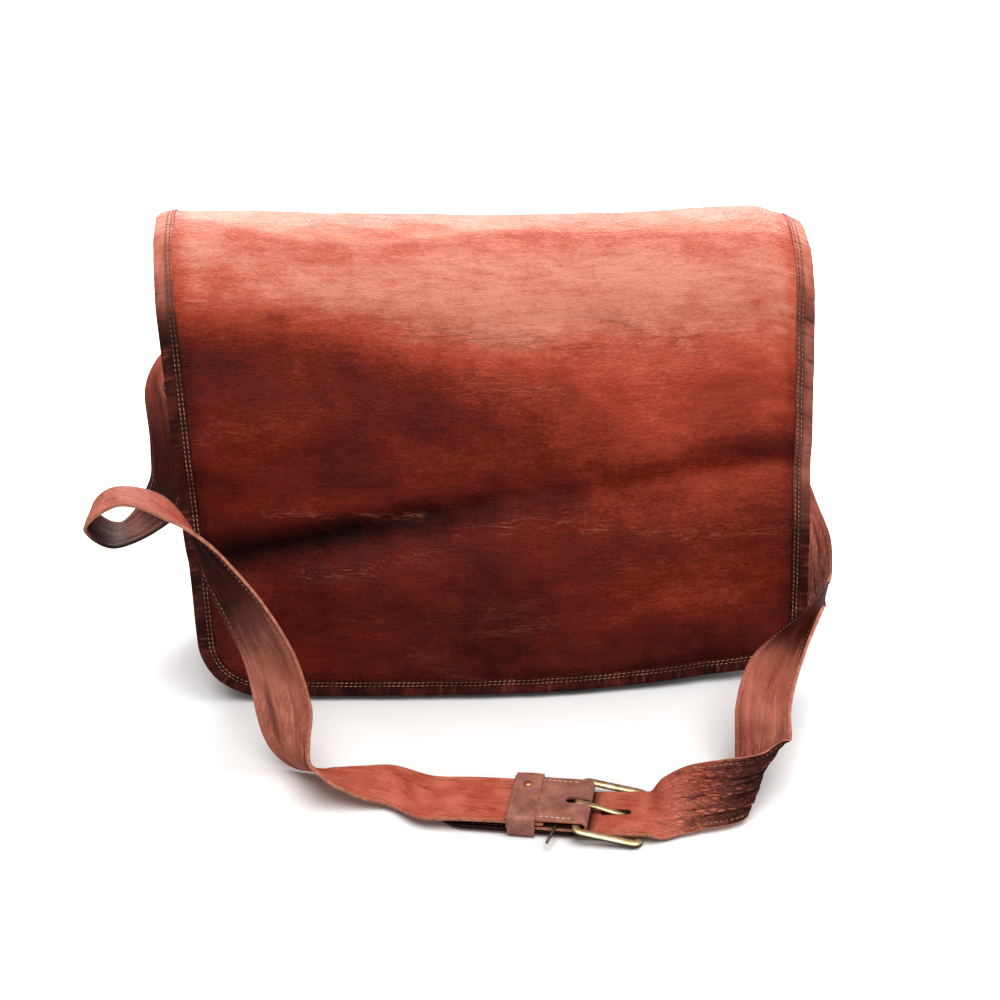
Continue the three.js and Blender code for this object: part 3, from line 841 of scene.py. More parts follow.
def flap_leather():
    """Waxed red-brown leather with uneven dye, crazed and creased by use; its tone brings in a
    painted sheen and painted shade, and its creases carry a painted shadow.
    """
    f = Finish("flap_leather")
    flat = f.pattern()
    streaky = f.pattern((0.22, 1, 1))
    tone = f.tone("tone")
    wear = f.tone("wear")
    clouds = f.noise(flat, 14, 4, 0.6, 0.6)
    blotches = f.noise(flat, 55, 4, 0.6)
    streaks = f.noise(streaky, 260, 3, 0.6)
    grain = f.noise(f.pattern((0.45, 1, 1)), 650, 2, 0.6)
    patches = 0.42 * (clouds - 0.5) + 0.26 * (blotches - 0.5)
    calm = f.step(tone, 0.6, 0.95)
    clouded = tone + (1 - 0.45 * calm) * patches
    depth = clouded + 0.2 * (streaks - 0.5) + (0.38 - 0.24 * calm) * (grain - 0.5)
    stops = [
        (0.0, paint(36, 6, 3)),
        (0.25, paint(76, 17, 8)),
        (0.5, paint(118, 36, 19)),
        (0.75, paint(166, 70, 45)),
        (0.87, paint(188, 95, 70)),
        (1.0, paint(213, 142, 119)),
    ]
    # Colour from the tone: the dye, with the painted sheen and painted shade that the tone carries.
    dyed_and_lit = f.ramp(depth, stops)
    creased = f.noise(f.pattern((0.13, 1, 1)), 230, 3, 0.5, 1.4)
    # Creases in the worn bands: pale lines of wear with a painted highlight along each crease, and
    # beside them dark lines of painted shadow.
    lines = (1 - f.step(abs(creased - 0.5), 0.004, 0.026)) * wear
    crease_shadow_lines = (1 - f.step(abs(creased - 0.55), 0.006, 0.03)) * wear
    crease_shadowed = f.mix(0.3 * crease_shadow_lines, dyed_and_lit, paint(70, 18, 10))
    worn = f.mix(0.45 * lines, crease_shadowed, paint(206, 116, 86))
    pebbles = f.step(f.cracks(f.pattern((0.6, 1, 1)), 560), 0, 0.3)
    fine = f.noise(streaky, 620, 2, 0.65)
    height = 0.5 * fine + 0.4 * pebbles + 0.3 * lines - 0.5 * crease_shadow_lines
    soft = f.bump(f.noise(f.pattern((0.5, 1, 1)), 95, 3, 0.6), 0.4, 0.0014)
    normal = f.bump(height, 0.8, 0.0006, soft)
    gloss = 0.34 + 0.18 * (blotches - 0.5) + 0.1 * fine
    return f.close(worn, gloss, normal, LOW_SHEEN)


def binding_leather():
    """Thin dark leather, gathered into short creases across the edge that it covers, with painted
    shade in its creases and in the dips of its stitch rows, and painted light from its tone.
    """
    f = Finish("binding_leather")
    flat = f.pattern()
    crossways = f.pattern((1, 0.12, 1))
    gathers = f.noise(crossways, 330, 3, 0.6, 0.4)
    blotches = f.noise(flat, 60, 4, 0.6)
    dark = f.mix(f.step(blotches, 0.35, 0.7), paint(58, 15, 9), paint(102, 36, 25))
    light = f.mix(f.step(blotches, 0.35, 0.7), paint(192, 110, 90), paint(222, 148, 126))
    ground = f.mix(f.tone("tone"), dark, light)
    # Paler on the ridges of the gathers, over the tone's painted light.
    dyed_and_lit = f.mix(f.step(gathers, 0.55, 0.75) * 0.5, ground, paint(172, 92, 72))
    # Painted shade in the hollows of the gathers.
    fold_shaded = f.mix(f.step(gathers, 0.42, 0.28) * 0.8, dyed_and_lit, paint(40, 10, 7))
    # Painted shade in the dips along the stitch rows.
    soiled_and_shaded = f.mix(0.75 * f.tone("seam"), fold_shaded, paint(38, 12, 8))
    height = gathers + 0.15 * f.noise(flat, 1200, 2)
    return f.close(soiled_and_shaded, 0.42 + 0.2 * blotches, f.bump(height, 0.8, 0.0011), LOW_SHEEN)


def strap_face():
    """The strap's orange-red outer face, wrinkled along its length, with painted light and shade
    along it and painted shade in its wrinkles.
    """
    f = Finish("strap_face")
    flat = f.pattern()
    crinkle = f.tone("crinkle")
    relief = f.tone("relief")
    furrow = f.noise(f.turned(0.22, (6, 1, 1)), 330, 3, 0.6, 0.8)
    fine = f.noise(f.pattern((0.5, 1, 1)), 800, 2, 0.65)
    patchy = f.step(f.noise(flat, 45, 4, 0.6), 0.25, 0.75)
    # Lit and shaded copies of the face's colour, mixed by the painted shade along the strap;
    # painted deep shade is mixed in where the strap lies in deep shade.
    bright = f.mix(patchy, paint(184, 92, 70), paint(214, 128, 106))
    shaded_face = f.mix(patchy, paint(54, 18, 12), paint(92, 38, 29))
    ground = f.mix(f.tone("grime"), f.mix(f.tone("shade"), bright, shaded_face), DEEP_SHADE_COLOUR)
    # Painted shade in the furrows.
    deep = f.mix(f.step(furrow, 0.48, 0.3) * (0.4 + 0.2 * crinkle), ground, paint(96, 32, 22))
    wrinkled = f.crumpled(f.turned(0.22, (3.2, 1, 1)), 260, 0.004)
    net = (1 - f.step(f.cracks(wrinkled, 460), 0.02, 0.24)) * crinkle
    # Painted shade in the net of fine wrinkles.
    netted = f.mix(0.55 * net, deep, paint(58, 18, 12))
    # Painted shade where the strap's surface sinks.
    sunk = f.mix(f.step(relief, 0, -0.7) * 0.6, netted, paint(66, 22, 15))
    # Paler on the ridges of the wrinkles: rubbed wear with a painted highlight.
    rubbed = f.mix(f.step(relief, 0.2, 0.9) * (1 - net) * 0.4, sunk, paint(208, 128, 106))
    rough = f.bump(furrow - 0.8 * net, 0.8, 0.0014)
    normal = f.bump(fine, 0.8, 0.0005, rough)
    gloss = 0.4 + 0.1 * patchy + 0.12 * fine
    return f.close(rubbed, gloss, normal, LOW_SHEEN)


def strap_back():
    """The strap's pinkish brown inner face, with soft ribs and a dry sheen, painted light and shade
    along it, a painted highlight on its ribs and painted shade between them and in its hollows.
    """
    f = Finish("strap_back")
    flat = f.pattern()
    relief = f.tone("relief")
    shade = f.tone("shade")
    ribs = f.noise(f.pattern((0.12, 1, 1)), 200, 3, 0.5, 0.9)
    fine = f.noise(flat, 900, 2, 0.65)
    patchy = f.step(f.noise(flat, 28, 4, 0.6), 0.25, 0.75)
    # Lit and shaded copies of the face's colour, mixed by the painted shade along the strap.
    light = f.mix(patchy, paint(158, 86, 70), paint(200, 130, 112))
    dark = f.mix(patchy, paint(46, 12, 8), paint(82, 28, 21))
    ruddy = f.mix(shade, paint(176, 80, 60), paint(88, 25, 18))
    ground = f.mix(f.tone("ruddy"), f.mix(shade, light, dark), ruddy)
    # Painted highlight on the ribs, weaker where the strap is shaded.
    ribbed = f.mix(f.step(ribs, 0.56, 0.74) * (0.3 - 0.2 * shade), ground, paint(222, 150, 128))
    # Painted shade between the ribs.
    deep = f.mix(f.step(ribs, 0.44, 0.28) * 0.35, ribbed, paint(98, 44, 35))
    wrinkled = f.crumpled(f.turned(-0.15, (4, 1, 1)), 220, 0.005)
    net = (1 - f.step(f.cracks(wrinkled, 380), 0.02, 0.2)) * f.tone("crinkle")
    # Painted shade in the net of fine wrinkles.
    netted = f.mix(0.3 * net, deep, paint(84, 34, 27))
    # Painted shade where the surface sinks.
    sunk = f.mix(f.step(relief, 0, -0.5) * 0.6, netted, paint(74, 30, 23))
    normal = f.bump(fine, 0.55, 0.00035, f.bump(ribs - 0.6 * net, 0.6, 0.0011))
    return f.close(sunk, 0.55 + 0.16 * (fine - 0.5), normal, specular=0.25)


def cut_edge():
    """The pale orange edge where the leather was cut and left raw."""
    f = Finish("cut_edge")
    layers = f.noise(f.place(), 320, 3, 0.5)
    raw = f.mix(f.step(layers, 0.3, 0.72), paint(156, 96, 76), paint(188, 126, 104))
    # Painted deep shade on the edges at the bottom of the left strap's loop and on the right
    # strap's tail.
    ground = f.mix(f.tone("grime"), raw, DEEP_SHADE_COLOUR)
    return f.close(ground, 0.7 + 0.2 * (layers - 0.5), f.bump(layers, 0.35, 0.0003))


def tab_leather():
    """Smooth brown leather with a fine pebbled grain and rubbed, paler patches."""
    f = Finish("tab_leather")
    flat = f.pattern()
    pebbles = f.cracks(flat, 900)
    blotches = f.noise(flat, 70, 4, 0.6)
    ground = f.mix(f.step(blotches, 0.3, 0.72), paint(146, 97, 85), paint(188, 133, 119))
    seams = f.mix((1 - f.step(pebbles, 0.0, 0.12)) * 0.35, ground, paint(96, 48, 40))
    height = f.step(pebbles, 0.0, 0.25) + 0.4 * f.noise(flat, 240, 3)
    return f.close(seams, 0.5 + 0.2 * (blotches - 0.5), f.bump(height, 0.5, 0.0003))


def suede():
    """The flesh side of the leather, inside the bag and under the flap."""
    f = Finish("flesh_side")
    spot = f.place()
    nap = f.noise(spot, 900, 4, 0.7)
    blotches = f.noise(spot, 22, 4, 0.6)
    ground = f.mix(f.step(blotches, 0.35, 0.68), paint(96, 52, 36), paint(140, 86, 62))
    napped = f.mix(f.step(nap, 0.45, 0.7) * 0.4, ground, paint(170, 116, 88))
    return f.close(napped, 0.85 + 0.1 * (nap - 0.5), f.bump(nap, 0.6, 0.0004))


def thread(name, soiled_and_shaded, clean):
    """Waxed thread, with soil here and there, and darker high on the bag."""
    f = Finish(name)
    spot = f.place()
    soil = f.noise(spot, 60, 3)
    twist = f.noise(spot, 2600, 2)
    worn = f.mix(f.step(soil, 0.38, 0.64), soiled_and_shaded, clean)
    height = f.node("ShaderNodeSeparateXYZ", {}, {0: spot}, "Z")
    ground = f.mix(f.step(height, 0.24, 0.285) * 0.75, worn, paint(84, 42, 26))
    return f.close(ground, 0.6 + 0.2 * (twist - 0.5), f.bump(twist, 0.4, 0.0002))


def aged_metal(name, rubbed, dulled):
    """Yellow metal, bright in some patches and dulled in others."""
    f = Finish(name)
    spot = f.place()
    stain = f.noise(spot, 130, 4, 0.6)
    brushed = f.noise(spot, 1100, 3)
    ground = f.mix(f.step(stain, 0.4, 0.7), rubbed, dulled)
    return f.close(ground, 0.34 + 0.2 * stain, f.bump(brushed, 0.15, 0.0001), metallic=1)


def dark_steel():
    """Darkened steel with a few bare scratches."""
    f = Finish("dark_steel")
    spot = f.place()
    scratch = f.noise(spot, 700, 3, 0.7)
    ground = f.mix(f.step(scratch, 0.55, 0.75), paint(112, 108, 98), paint(184, 178, 160))
    return f.close(ground, 0.42 + 0.15 * scratch, f.bump(scratch, 0.15, 0.0001), metallic=1)


def pale_floor():
    f = Finish("pale_floor")
    mottle = f.noise(f.place(), 3, 3)
    ground = f.mix(mottle, paint(238, 238, 237), paint(244, 244, 243))
    return f.close(ground, 0.8)


FLAP_LEATHER = flap_leather()
BINDING_LEATHER = binding_leather()
STRAP_FACE = strap_face()
STRAP_BACK = strap_back()
CUT_EDGE = cut_edge()
TAB_LEATHER = tab_leather()
SUEDE = suede()
THREAD = thread("tan_thread", paint(134, 86, 62), paint(188, 136, 106))
PALE_THREAD = thread("pale_thread", paint(186, 138, 112), paint(236, 198, 172))
BRASS = aged_metal("aged_brass", paint(240, 228, 190), paint(190, 170, 122))
COPPER = aged_metal("aged_copper", paint(236, 172, 132), paint(190, 122, 88))
STEEL = dark_steel()


def set_tones(obj, **tones):
    """Stores each tone of the flat pattern on the piece under its name, for its finish to read."""
    count = len(obj.data.vertices)
    spots = np.empty(count * 3, np.float32)
    obj.data.attributes["pattern"].data.foreach_get("vector", spots)
    pattern = spots.reshape(-1, 3).T.astype(float) / MM
    for name, tone in tones.items():
        values = np.broadcast_to(tone(*pattern), count).astype(np.float32)
        layer = obj.data.attributes.new(name, "FLOAT", "POINT")
        layer.data.foreach_set("value", values)


# Flap: light and dark clouds of its dye and of painted light and shade, as x, t, reach across,
# reach along, strength
FLAP_DYE_AND_LIGHT_CLOUDS = [
    (-165, 270, 40, 22, 0.12),
    (110, 240, 75, 22, -0.12),
    (-20, 210, 70, 14, 0.1),
    (-115, 318, 70, 12, 0.1),
    (70, 215, 70, 16, -0.06),
    (60, 295, 110, 40, 0.14),
    (165, 285, 35, 14, -0.16),
    (170, 308, 45, 12, 0.14),
    (110, 330, 80, 18, 0.12),
    (125, 385, 75, 26, 0.18),
    (150, 440, 60, 14, -0.06),
    (-150, 430, 50, 24, 0.05),
    (150, 212, 50, 26, -0.07),
    (-20, 415, 110, 36, -0.05),
    (-172, 172, 32, 13, -0.1),
]

# Bands of fine pale creases on the flap: x1, t1, x2, t2, strength, width
FLAP_WEAR = [
    (-150, 322, -50, 326, 1, 3),
    (-130, 368, -85, 362, 0.9, 4),
    (-95, 362, -30, 350, 0.6, 4),
    (-25, 336, 5, 335, 1, 4),
    (5, 333, 60, 322, 0.8, 5),
    (40, 332, 110, 345, 0.8, 4),
    (110, 345, 190, 348, 0.9, 4),
    (60, 366, 150, 362, 0.4, 5),
    (-200, 186, -60, 200, 0.7, 5),
    (-65, 200, 55, 214, 1, 9),
    (55, 216, 130, 210, 0.9, 6),
    (65, 193, 140, 222, 0.9, 5),
    (-12, 230, 40, 243, 0.9, 7),
    (-190, 275, -130, 255, 0.5, 6),
    (-110, 398, 20, 392, 0.4, 6),
    (-20, 412, 60, 396, 0.5, 5),
    (-60, 425, -20, 445, 0.5, 5),
]

# Painted shade in the valleys of the flap's front: x1, z1, x2, z2, strength, width
FLAP_VALLEY_SHADE = [
    (-215, 103, -95, 126, 0.36, 12),
    (-95, 126, -45, 136, 0.29, 13),
    (-45, 136, 0, 141, 0.21, 14),
    (0, 141, 50, 146, 0.13, 14),
    (70, 158, 215, 172, 0.13, 11),
]

# Lower edge of the painted sheen on top of the flap: x and t
SHEEN_EDGE_X = (-203, -177, -146, -110, -80, -48, -28, 10, 48, 85, 135, 173, 203)
SHEEN_EDGE_T = (124, 126, 136, 146, 149, 144, 140, 136, 136, 138, 142, 145, 140)


def sheen_edge_tone(x, t):
    """Painted shade: the flap is darker just below the lower edge of its painted sheen, and a
    little darker along its crest.
    """
    below = t - np.interp(x, SHEEN_EDGE_X, SHEEN_EDGE_T)
    return -0.08 * stretch(below, -3, 6, 4, 26) - 0.07 * bell((t - 116) / 20)


def flap_tone(x, t, side):
    """The flap's tone from dark to light: dye, with a painted sheen on top and painted shade down
    the front, on the back and in a strip beside the binding.
    """
    z = drape(x, t)[..., 2]
    clouds = sum(
        strength * bell(np.hypot((x - cx) / across, (t - ct) / along))
        for cx, ct, across, along, strength in FLAP_DYE_AND_LIGHT_CLOUDS
    )
    on_front = ease((t - BACK_LENGTH - ROLL_LENGTH) / 60)
    edge = np.minimum(FLAP_HALF - np.abs(x), hem_limit(x) - t)
    # Painted shade in a strip beside the binding's inner edge.
    soiled_and_shaded = 0.1 * bell((edge - 11) / 6)
    # Painted light: the pale top reaches further down on the right, where more light falls.
    rightward = ease((x + 150) / 300)
    start, reach = blend(174, 190, rightward), blend(52, 165, rightward**1.5)
    # Pale on top and darker down the front: partly the dye and partly a painted sheen and painted
    # shade; the back is darkened as painted shade against the light from behind.
    fall = blend(0.98, 0.4, ease((t - start) / reach)) - 0.62 * fade(t, 20, 95)
    return fall + clouds + sheen_edge_tone(x, t) - on_front * furrows(FLAP_VALLEY_SHADE, x, z) - soiled_and_shaded


def flap_wear(x, t, side):
    return np.clip(furrows(FLAP_WEAR, x, t), 0, 1)


def flap_place(u, v):
    x = blend(-FLAP_HALF, FLAP_HALF, u)
    straight = (FLAP_LENGTH - HEM_ZONE) / FLAP_LENGTH
    below = np.clip((v - straight) / (1 - straight), 0, 1)
    rounded = blend(FLAP_LENGTH - HEM_ZONE, hem_limit(x), below)
    t = np.where(v < straight, v * FLAP_LENGTH, rounded)
    return on_flap(x, t, 0), stack(x, t, 0)


def add_flap():
    bm = sheet(176, 196, flap_place)
    bmesh.ops.reverse_faces(bm, faces=bm.faces)
    flap = add_piece("flap_leather", bm, [FLAP_LEATHER, SUEDE], "flap")
    thicken(flap, LEATHER)
    set_tones(flap, tone=flap_tone, wear=flap_wear)


class Rounded:
    """A line by length: down a left side, round a corner, along a base, then up a right side."""

    def __init__(self, top_half, low_half, side, corner):
        self.top_half = top_half
        self.low_half = low_half
        self.side = side
        self.corner = corner
        self.length = 2 * (side + corner * math.pi / 2 + low_half - corner)

    def __call__(self, s):
        """x, the share of the side that is done, the turn at the corner, and the side's sign."""
        sign = np.where(s < self.length / 2, -1, 1)
        done = np.minimum(s, self.length - s)
        down = np.minimum(done, self.side) / self.side
        turn = np.clip((done - self.side) / self.corner, 0, math.pi / 2)
        past = np.clip(done - self.side - self.corner * math.pi / 2, 0, None)
        half = blend(self.top_half, self.low_half, down)
        return sign * (half - self.corner + self.corner * np.cos(turn) - past), down, turn, sign


FLAP_SIDE = FLAP_LENGTH - FLAP_CORNER - BACK_LENGTH
FLAP_EDGE = Rounded(FLAP_HALF, FLAP_HALF, FLAP_SIDE, FLAP_CORNER)
BINDING_LENGTH = FLAP_EDGE.length
BINDING_SHOWN = 0.9
BINDING_LEVEL = LEATHER / 2 + 0.1 + BINDING_SHOWN / 2
BINDING_GIRTH = 26
BINDING_FACE = 0.4


def binding_edge(s):
    """The flap's edge at a length from the top of its left side: x, t and the way inwards."""
    x, down, turn, sign = FLAP_EDGE(s)
    t = BACK_LENGTH + FLAP_SIDE * down + FLAP_CORNER * np.sin(turn)
    return x, t, -sign * np.cos(turn), -np.sin(turn)


def on_binding(s, inset, offset):
    x, t, dx, dt = binding_edge(s)
    return on_flap(x + dx * inset, t + dt * inset, offset)


def binding_gather(s, inset):
    """Short creases across the binding, and the dip along its stitches."""
    gathered = ease((6.5 - inset) / 4)
    dip = sum(0.28 * bell((inset - row) / 0.8) for row in STITCH_ROWS)
    creases = 0.26 * hills(s / 2.7, inset / 9, 11) + 0.16 * hills(s / 6.5, inset / 12, 12)
    return gathered * creases - dip


def binding_place(u, v):
    s = u * BINDING_LENGTH
    turn = np.clip((v - BINDING_FACE) / (1 - 2 * BINDING_FACE), 0, 1) * math.pi
    flat = np.maximum(BINDING_FACE - v, 0) + np.maximum(v - 1 + BINDING_FACE, 0)
    lip = (BINDING_LIP - BINDING_SHOWN / 2) * np.sin(turn)
    inset = BINDING_WIDTH * flat / BINDING_FACE - lip
    offset = (BINDING_LEVEL + binding_gather(s, inset)) * np.cos(turn)
    return on_binding(s, inset, offset), stack(s, BINDING_GIRTH * v, 0)


# Painted light on the binding: lighter on top of the roll and down the right side, where the light
# falls, and dark on the back.
def binding_tone(s, width, side):
    x, t, _, _ = binding_edge(s)
    lit_roll_top = 0.9 * fade(t, 150, 60)
    lit_right_side = 0.4 * ease((x - 190) / 8) * fade(t, 300, 60)
    return ease((t - 50) / 70) * np.maximum(lit_roll_top, lit_right_side)


def binding_seam_shade(s, width, side):
    """Painted shade in the dips of the stitch rows, on the binding's outer face, stronger down the
    front.
    """
    inset = BINDING_WIDTH * (1 - width / (BINDING_GIRTH * BINDING_FACE))
    _, t, _, _ = binding_edge(s)
    shade_strength = blend(0.3, 1, ease((t - 140) / 90))
    return shade_strength * merge(bell((inset - row) / 1.2) for row in STITCH_ROWS)


def add_binding():
    bm = sheet(900, 22, binding_place)
    finishes = [BINDING_LEATHER, BINDING_LEATHER]
    binding = add_piece("flap_edge_binding", bm, finishes, "flap_binding")
    thicken(binding, BINDING_SHOWN)
    set_tones(binding, tone=binding_tone, seam=binding_seam_shade)


def add_binding_stitches():
    s = np.linspace(2, BINDING_LENGTH - 2, 1600)
    rows = []
    for row in STITCH_ROWS:
        top = BINDING_LEVEL + BINDING_SHOWN / 2 + binding_gather(s, row) + 0.05
        low = on_binding(s, row, top)
        rows.append(stitch_row(low, on_binding(s, row, top + 1) - low, BINDING_PITCH))
    add_stitching("flap_binding_stitches", rows, THREAD)


# Body
PANEL_CROWDING = 1.5
PANEL_STITCH_INSET = 4
FLAP_SEAM_HALF = 198
FLAP_SEAM_ROWS = (5, 8)


def panel_place(top, plane, bulge):
    """Places a panel's sheet, with its rows crowded near the base for the round corners."""

    def place(u, v):
        share = 2 * u - 1
        z = top * v**PANEL_CROWDING
        swell = bulge(z) * (1 - share**2)
        x = share * body_half(z)
        slack = 0.5 * hills(x / 40, z / 30, 21) * (1 - share**2) * np.sin(np.pi * v)
        out = plane + np.sign(plane) * (swell - LEATHER / 2 + slack)
        return stack(x, out, z), stack(x, z, 0)

    return place


def front_bulge(z):
    return FRONT_BELLY * np.sin(np.pi * z / MOUTH)


def back_bulge(z):
    return BACK_BELLY * np.sin(np.pi * np.minimum(z / BACK_BELLY_ENDS, 1))


FRONT_PLACE = panel_place(MOUTH, -BODY_DEPTH / 2, front_bulge)
BACK_PLACE = panel_place(BACK_TOP, BODY_DEPTH / 2, back_bulge)

LOW_HALF = float(body_half(BODY_CORNER))
GUSSET_SIDE = math.hypot(LOW_HALF - BODY_TOP_HALF, GUSSET_TOP - BODY_CORNER)
GUSSET_LINE = Rounded(BODY_TOP_HALF, LOW_HALF, GUSSET_SIDE, BODY_CORNER)
GUSSET_HALF = BODY_DEPTH / 2 - LEATHER / 2


def gusset_place(u, v):
    s = u * GUSSET_LINE.length
    x, down, turn, sign = GUSSET_LINE(s)
    y = GUSSET_HALF * (2 * v - 1)
    z = blend(GUSSET_TOP, BODY_CORNER, down) - BODY_CORNER * np.sin(turn)
    above = (z - GUSSET_ARCH_START) / (GUSSET_TOP - GUSSET_ARCH_START)
    arch = GUSSET_ARCH * np.clip(above, 0, 1) * (1 - (y / GUSSET_HALF) ** 2)
    inward = LEATHER / 2
    points = stack(x - inward * sign * np.cos(turn), y, z + inward * np.sin(turn) + arch)
    return points, stack(s, y, 0)


def panel_tone(x, t, side):
    return 0.32 + 0.07 * hills(x / 80, t / 60, 23)


def add_body():
    gusset_bm = sheet(260, 24, gusset_place)
    front_bm = sheet(90, 60, FRONT_PLACE)
    back_bm = sheet(90, 60, BACK_PLACE)
    for bm in (back_bm, gusset_bm):
        bmesh.ops.reverse_faces(bm, faces=bm.faces)
    rows = [
        ("front_panel_leather", front_bm, "front_panel"),
        ("back_panel_leather", back_bm, "back_panel"),
        ("gusset_leather", gusset_bm, "gusset"),
    ]
    for name, bm, node in rows:
        panel = add_piece(name, bm, [FLAP_LEATHER, SUEDE], node)
        thicken(panel, LEATHER)
        set_tones(panel, tone=panel_tone)


def panel_stitches(place, facing, top):
    """A row of stitches round a panel's two sides and base, near its edge."""
    inset = PANEL_STITCH_INSET
    heights = np.linspace(top - inset, BODY_CORNER, 120)
    turns = np.linspace(0, math.pi / 2, 60)[1:]
    base = np.linspace(BODY_CORNER - LOW_HALF, 0, 80)[1:]
    corner = BODY_CORNER - inset
    corner_x = -(LOW_HALF - BODY_CORNER + corner * np.cos(turns))
    corner_z = BODY_CORNER - corner * np.sin(turns)
    left_x = np.concatenate([inset - body_half(heights), corner_x, base])
    left_z = np.concatenate([heights, corner_z, np.full_like(base, inset)])
    x = np.concatenate([left_x, -left_x[::-1][1:]])
    z = np.concatenate([left_z, left_z[::-1][1:]])
    u = 0.5 + 0.5 * x / body_half(z)
    points, _ = place(u, (z / top) ** (1 / PANEL_CROWDING))
    normals = np.tile((0.0, facing, 0.0), (len(points), 1))
    return stitch_row(points + normals * (LEATHER / 2 + 0.1), normals, BODY_PITCH)


def add_body_stitches():
    rows = [panel_stitches(BACK_PLACE, 1, BACK_TOP), panel_stitches(FRONT_PLACE, -1, MOUTH)]
    x = np.linspace(-FLAP_SEAM_HALF, FLAP_SEAM_HALF, 240)
    for t in FLAP_SEAM_ROWS:
        low = on_flap(x, t, LEATHER / 2 + 0.05)
        rows.append(stitch_row(low, on_flap(x, t, LEATHER / 2 + 1) - low, SEAM_PITCH))
    add_stitching("body_stitches", rows, THREAD)


# Straps
STITCH_LINE = 18.4
SEWN_ROWS = (5, 44)
TAIL_TIP = 22
TAIL_BLUNT = 0.35


def crinkle_left(s, v, level):
    """How wrinkled the strap is, most where it hangs and where it meets the floor."""
    return 0.12 + 0.7 * stretch(s, 60, 30, 190, 40) + 0.6 * stretch(s, 465, 30, 530, 25)


def crinkle_right(s, v, level):
    return 0.15 + 0.5 * stretch(s, 90, 40, 230, 40) + 0.85 * stretch(s, 405, 35, 480, 45)


def shade_left(s, v, level):
    """How dark the strap's faces are along its length."""
    outer = 0.9 * fade(s, 228, 40) + 0.12 * fade(s, 330, 80)
    inner = stretch(s, 70, 70, 402, 92) - 0.4 * bell((s - 197) / 10)
    return np.where(level > 0, outer, inner)


def ruddy_left(s, v, level):
    return 0.9 * fade(s, 150, 30)


def shade_right(s, v, level):
    hang = blend(0.25, 0.65, ease((s - 190) / 35))
    on_floor = 0.1 + 0.9 * fade(s, 461, 40)
    outer = blend(hang, on_floor, ease((s - 250) / 60))
    return np.where(level > 0, outer, fade(s, 337, 46))


# Painted deep shade along the bottom of the left strap's loop.
def loop_shade(s, v, level):
    return 0.85 * stretch(s, 150, 20, 222, 36)


# Painted deep shade on the right strap's tail, under the buckle tab.
def tail_shade(s, v, level):
    return ease((s - RIGHT.length + 104) / 8)


class StrapSkin:
    """Furrows along a strap's faces, fading near the buckle, and a dip at each row of stitches."""

    def __init__(self, crinkle, quiet, seed):
        self.crinkle = crinkle
        self.quiet = quiet
        self.seed = seed

    def relief(self, s, v, level):
        free = ease((self.quiet - s) / 25) * ease((20.5 - np.abs(v)) / 3)
        bend = 0.9 * hills(s / 13, v / 11, self.seed)
        furrow = hills(s / 26, v / 1.8 + 1.2 * bend, self.seed + 1)
        wave = hills(s / 11, v / 3.6, self.seed + 2)
        outer = 0.95 * furrow + 0.45 * wave
        inner = 0.6 * hills(s / 45, v / 4 + 0.5 * bend, self.seed + 3)
        return free * (0.2 + self.crinkle(s, v, level)) * np.where(level > 0, outer, inner)

    def __call__(self, s, v, level):
        dip = 0.35 * bell((np.abs(v) - STITCH_LINE) / 0.9)
        return self.relief(s, v, level) - dip


def swell(s, middle):
    """A little more width where the hanging strap passes the flap's edge."""
    return 1.8 * bell((s - middle) / 10)


def left_width(s):
    return STRAP_HALF + swell(s, 172)


def right_width(s):
    from_tip = np.maximum(1 - (RIGHT.length - s) / TAIL_TIP, 0)
    round_end = np.sqrt(np.maximum(1 - from_tip**2, 0))
    return STRAP_HALF * np.maximum(round_end, TAIL_BLUNT) + swell(s, 246)


LEFT_SKIN = StrapSkin(crinkle_left, quiet=LEFT.length - 95, seed=31)
RIGHT_SKIN = StrapSkin(crinkle_right, quiet=RIGHT.length - 135, seed=41)
LEFT_STRAP = Band(LEFT.length, LEFT, left_width, STRAP_SHOWN / 2, LEFT_SKIN)
RIGHT_STRAP = Band(RIGHT.length, RIGHT, right_width, STRAP_SHOWN / 2, RIGHT_SKIN)


def strap_stitches(strap, end, sewn_face):
    """Rows along both edges of both faces, and two across the sewn end."""
    start = 4
    s = np.linspace(start, end, int((end - start) / 1.2))
    rows = []
    for face in (1, -1):
        for row in (-STITCH_LINE, STITCH_LINE):
            v = np.full_like(s, row)
            points = strap.surface(s, v, np.full_like(s, face))
            rows.append(stitch_row(points, strap.outward(s, v) * face, SEAM_PITCH))
    v = np.linspace(-STITCH_LINE, STITCH_LINE, 40)
    for row in SEWN_ROWS:
        here = np.full_like(v, row)
        points = strap.surface(here, v, np.full_like(v, sewn_face))
        rows.append(stitch_row(points, strap.outward(here, v) * sewn_face, SEAM_PITCH))
    return rows


def add_strap(strap, name):
    finishes = [STRAP_FACE, CUT_EDGE, STRAP_BACK]
    bm = strap.mesh(int(strap.length / 1.3), 44)
    return add_piece(f"{name}_leather", bm, finishes, name)


def add_straps():
    left = add_strap(LEFT_STRAP, "strap_left")
    set_tones(left, crinkle=crinkle_left, shade=shade_left, ruddy=ruddy_left)
    set_tones(left, grime=loop_shade, relief=LEFT_SKIN.relief)
    right = add_strap(RIGHT_STRAP, "strap_right")
    punch(right, slot_tool(along=22, length=18, width=4.4, low=-1, high=12))
    set_tones(right, crinkle=crinkle_right, shade=shade_right)
    set_tones(right, relief=RIGHT_SKIN.relief, grime=tail_shade)
    left_rows = strap_stitches(LEFT_STRAP, end=LEFT.length - 4, sewn_face=1)
    right_rows = strap_stitches(RIGHT_STRAP, end=RIGHT.length - 26, sewn_face=-1)
    add_stitching("strap_left_stitches", left_rows, THREAD)
    add_stitching("strap_right_stitches", right_rows, THREAD)


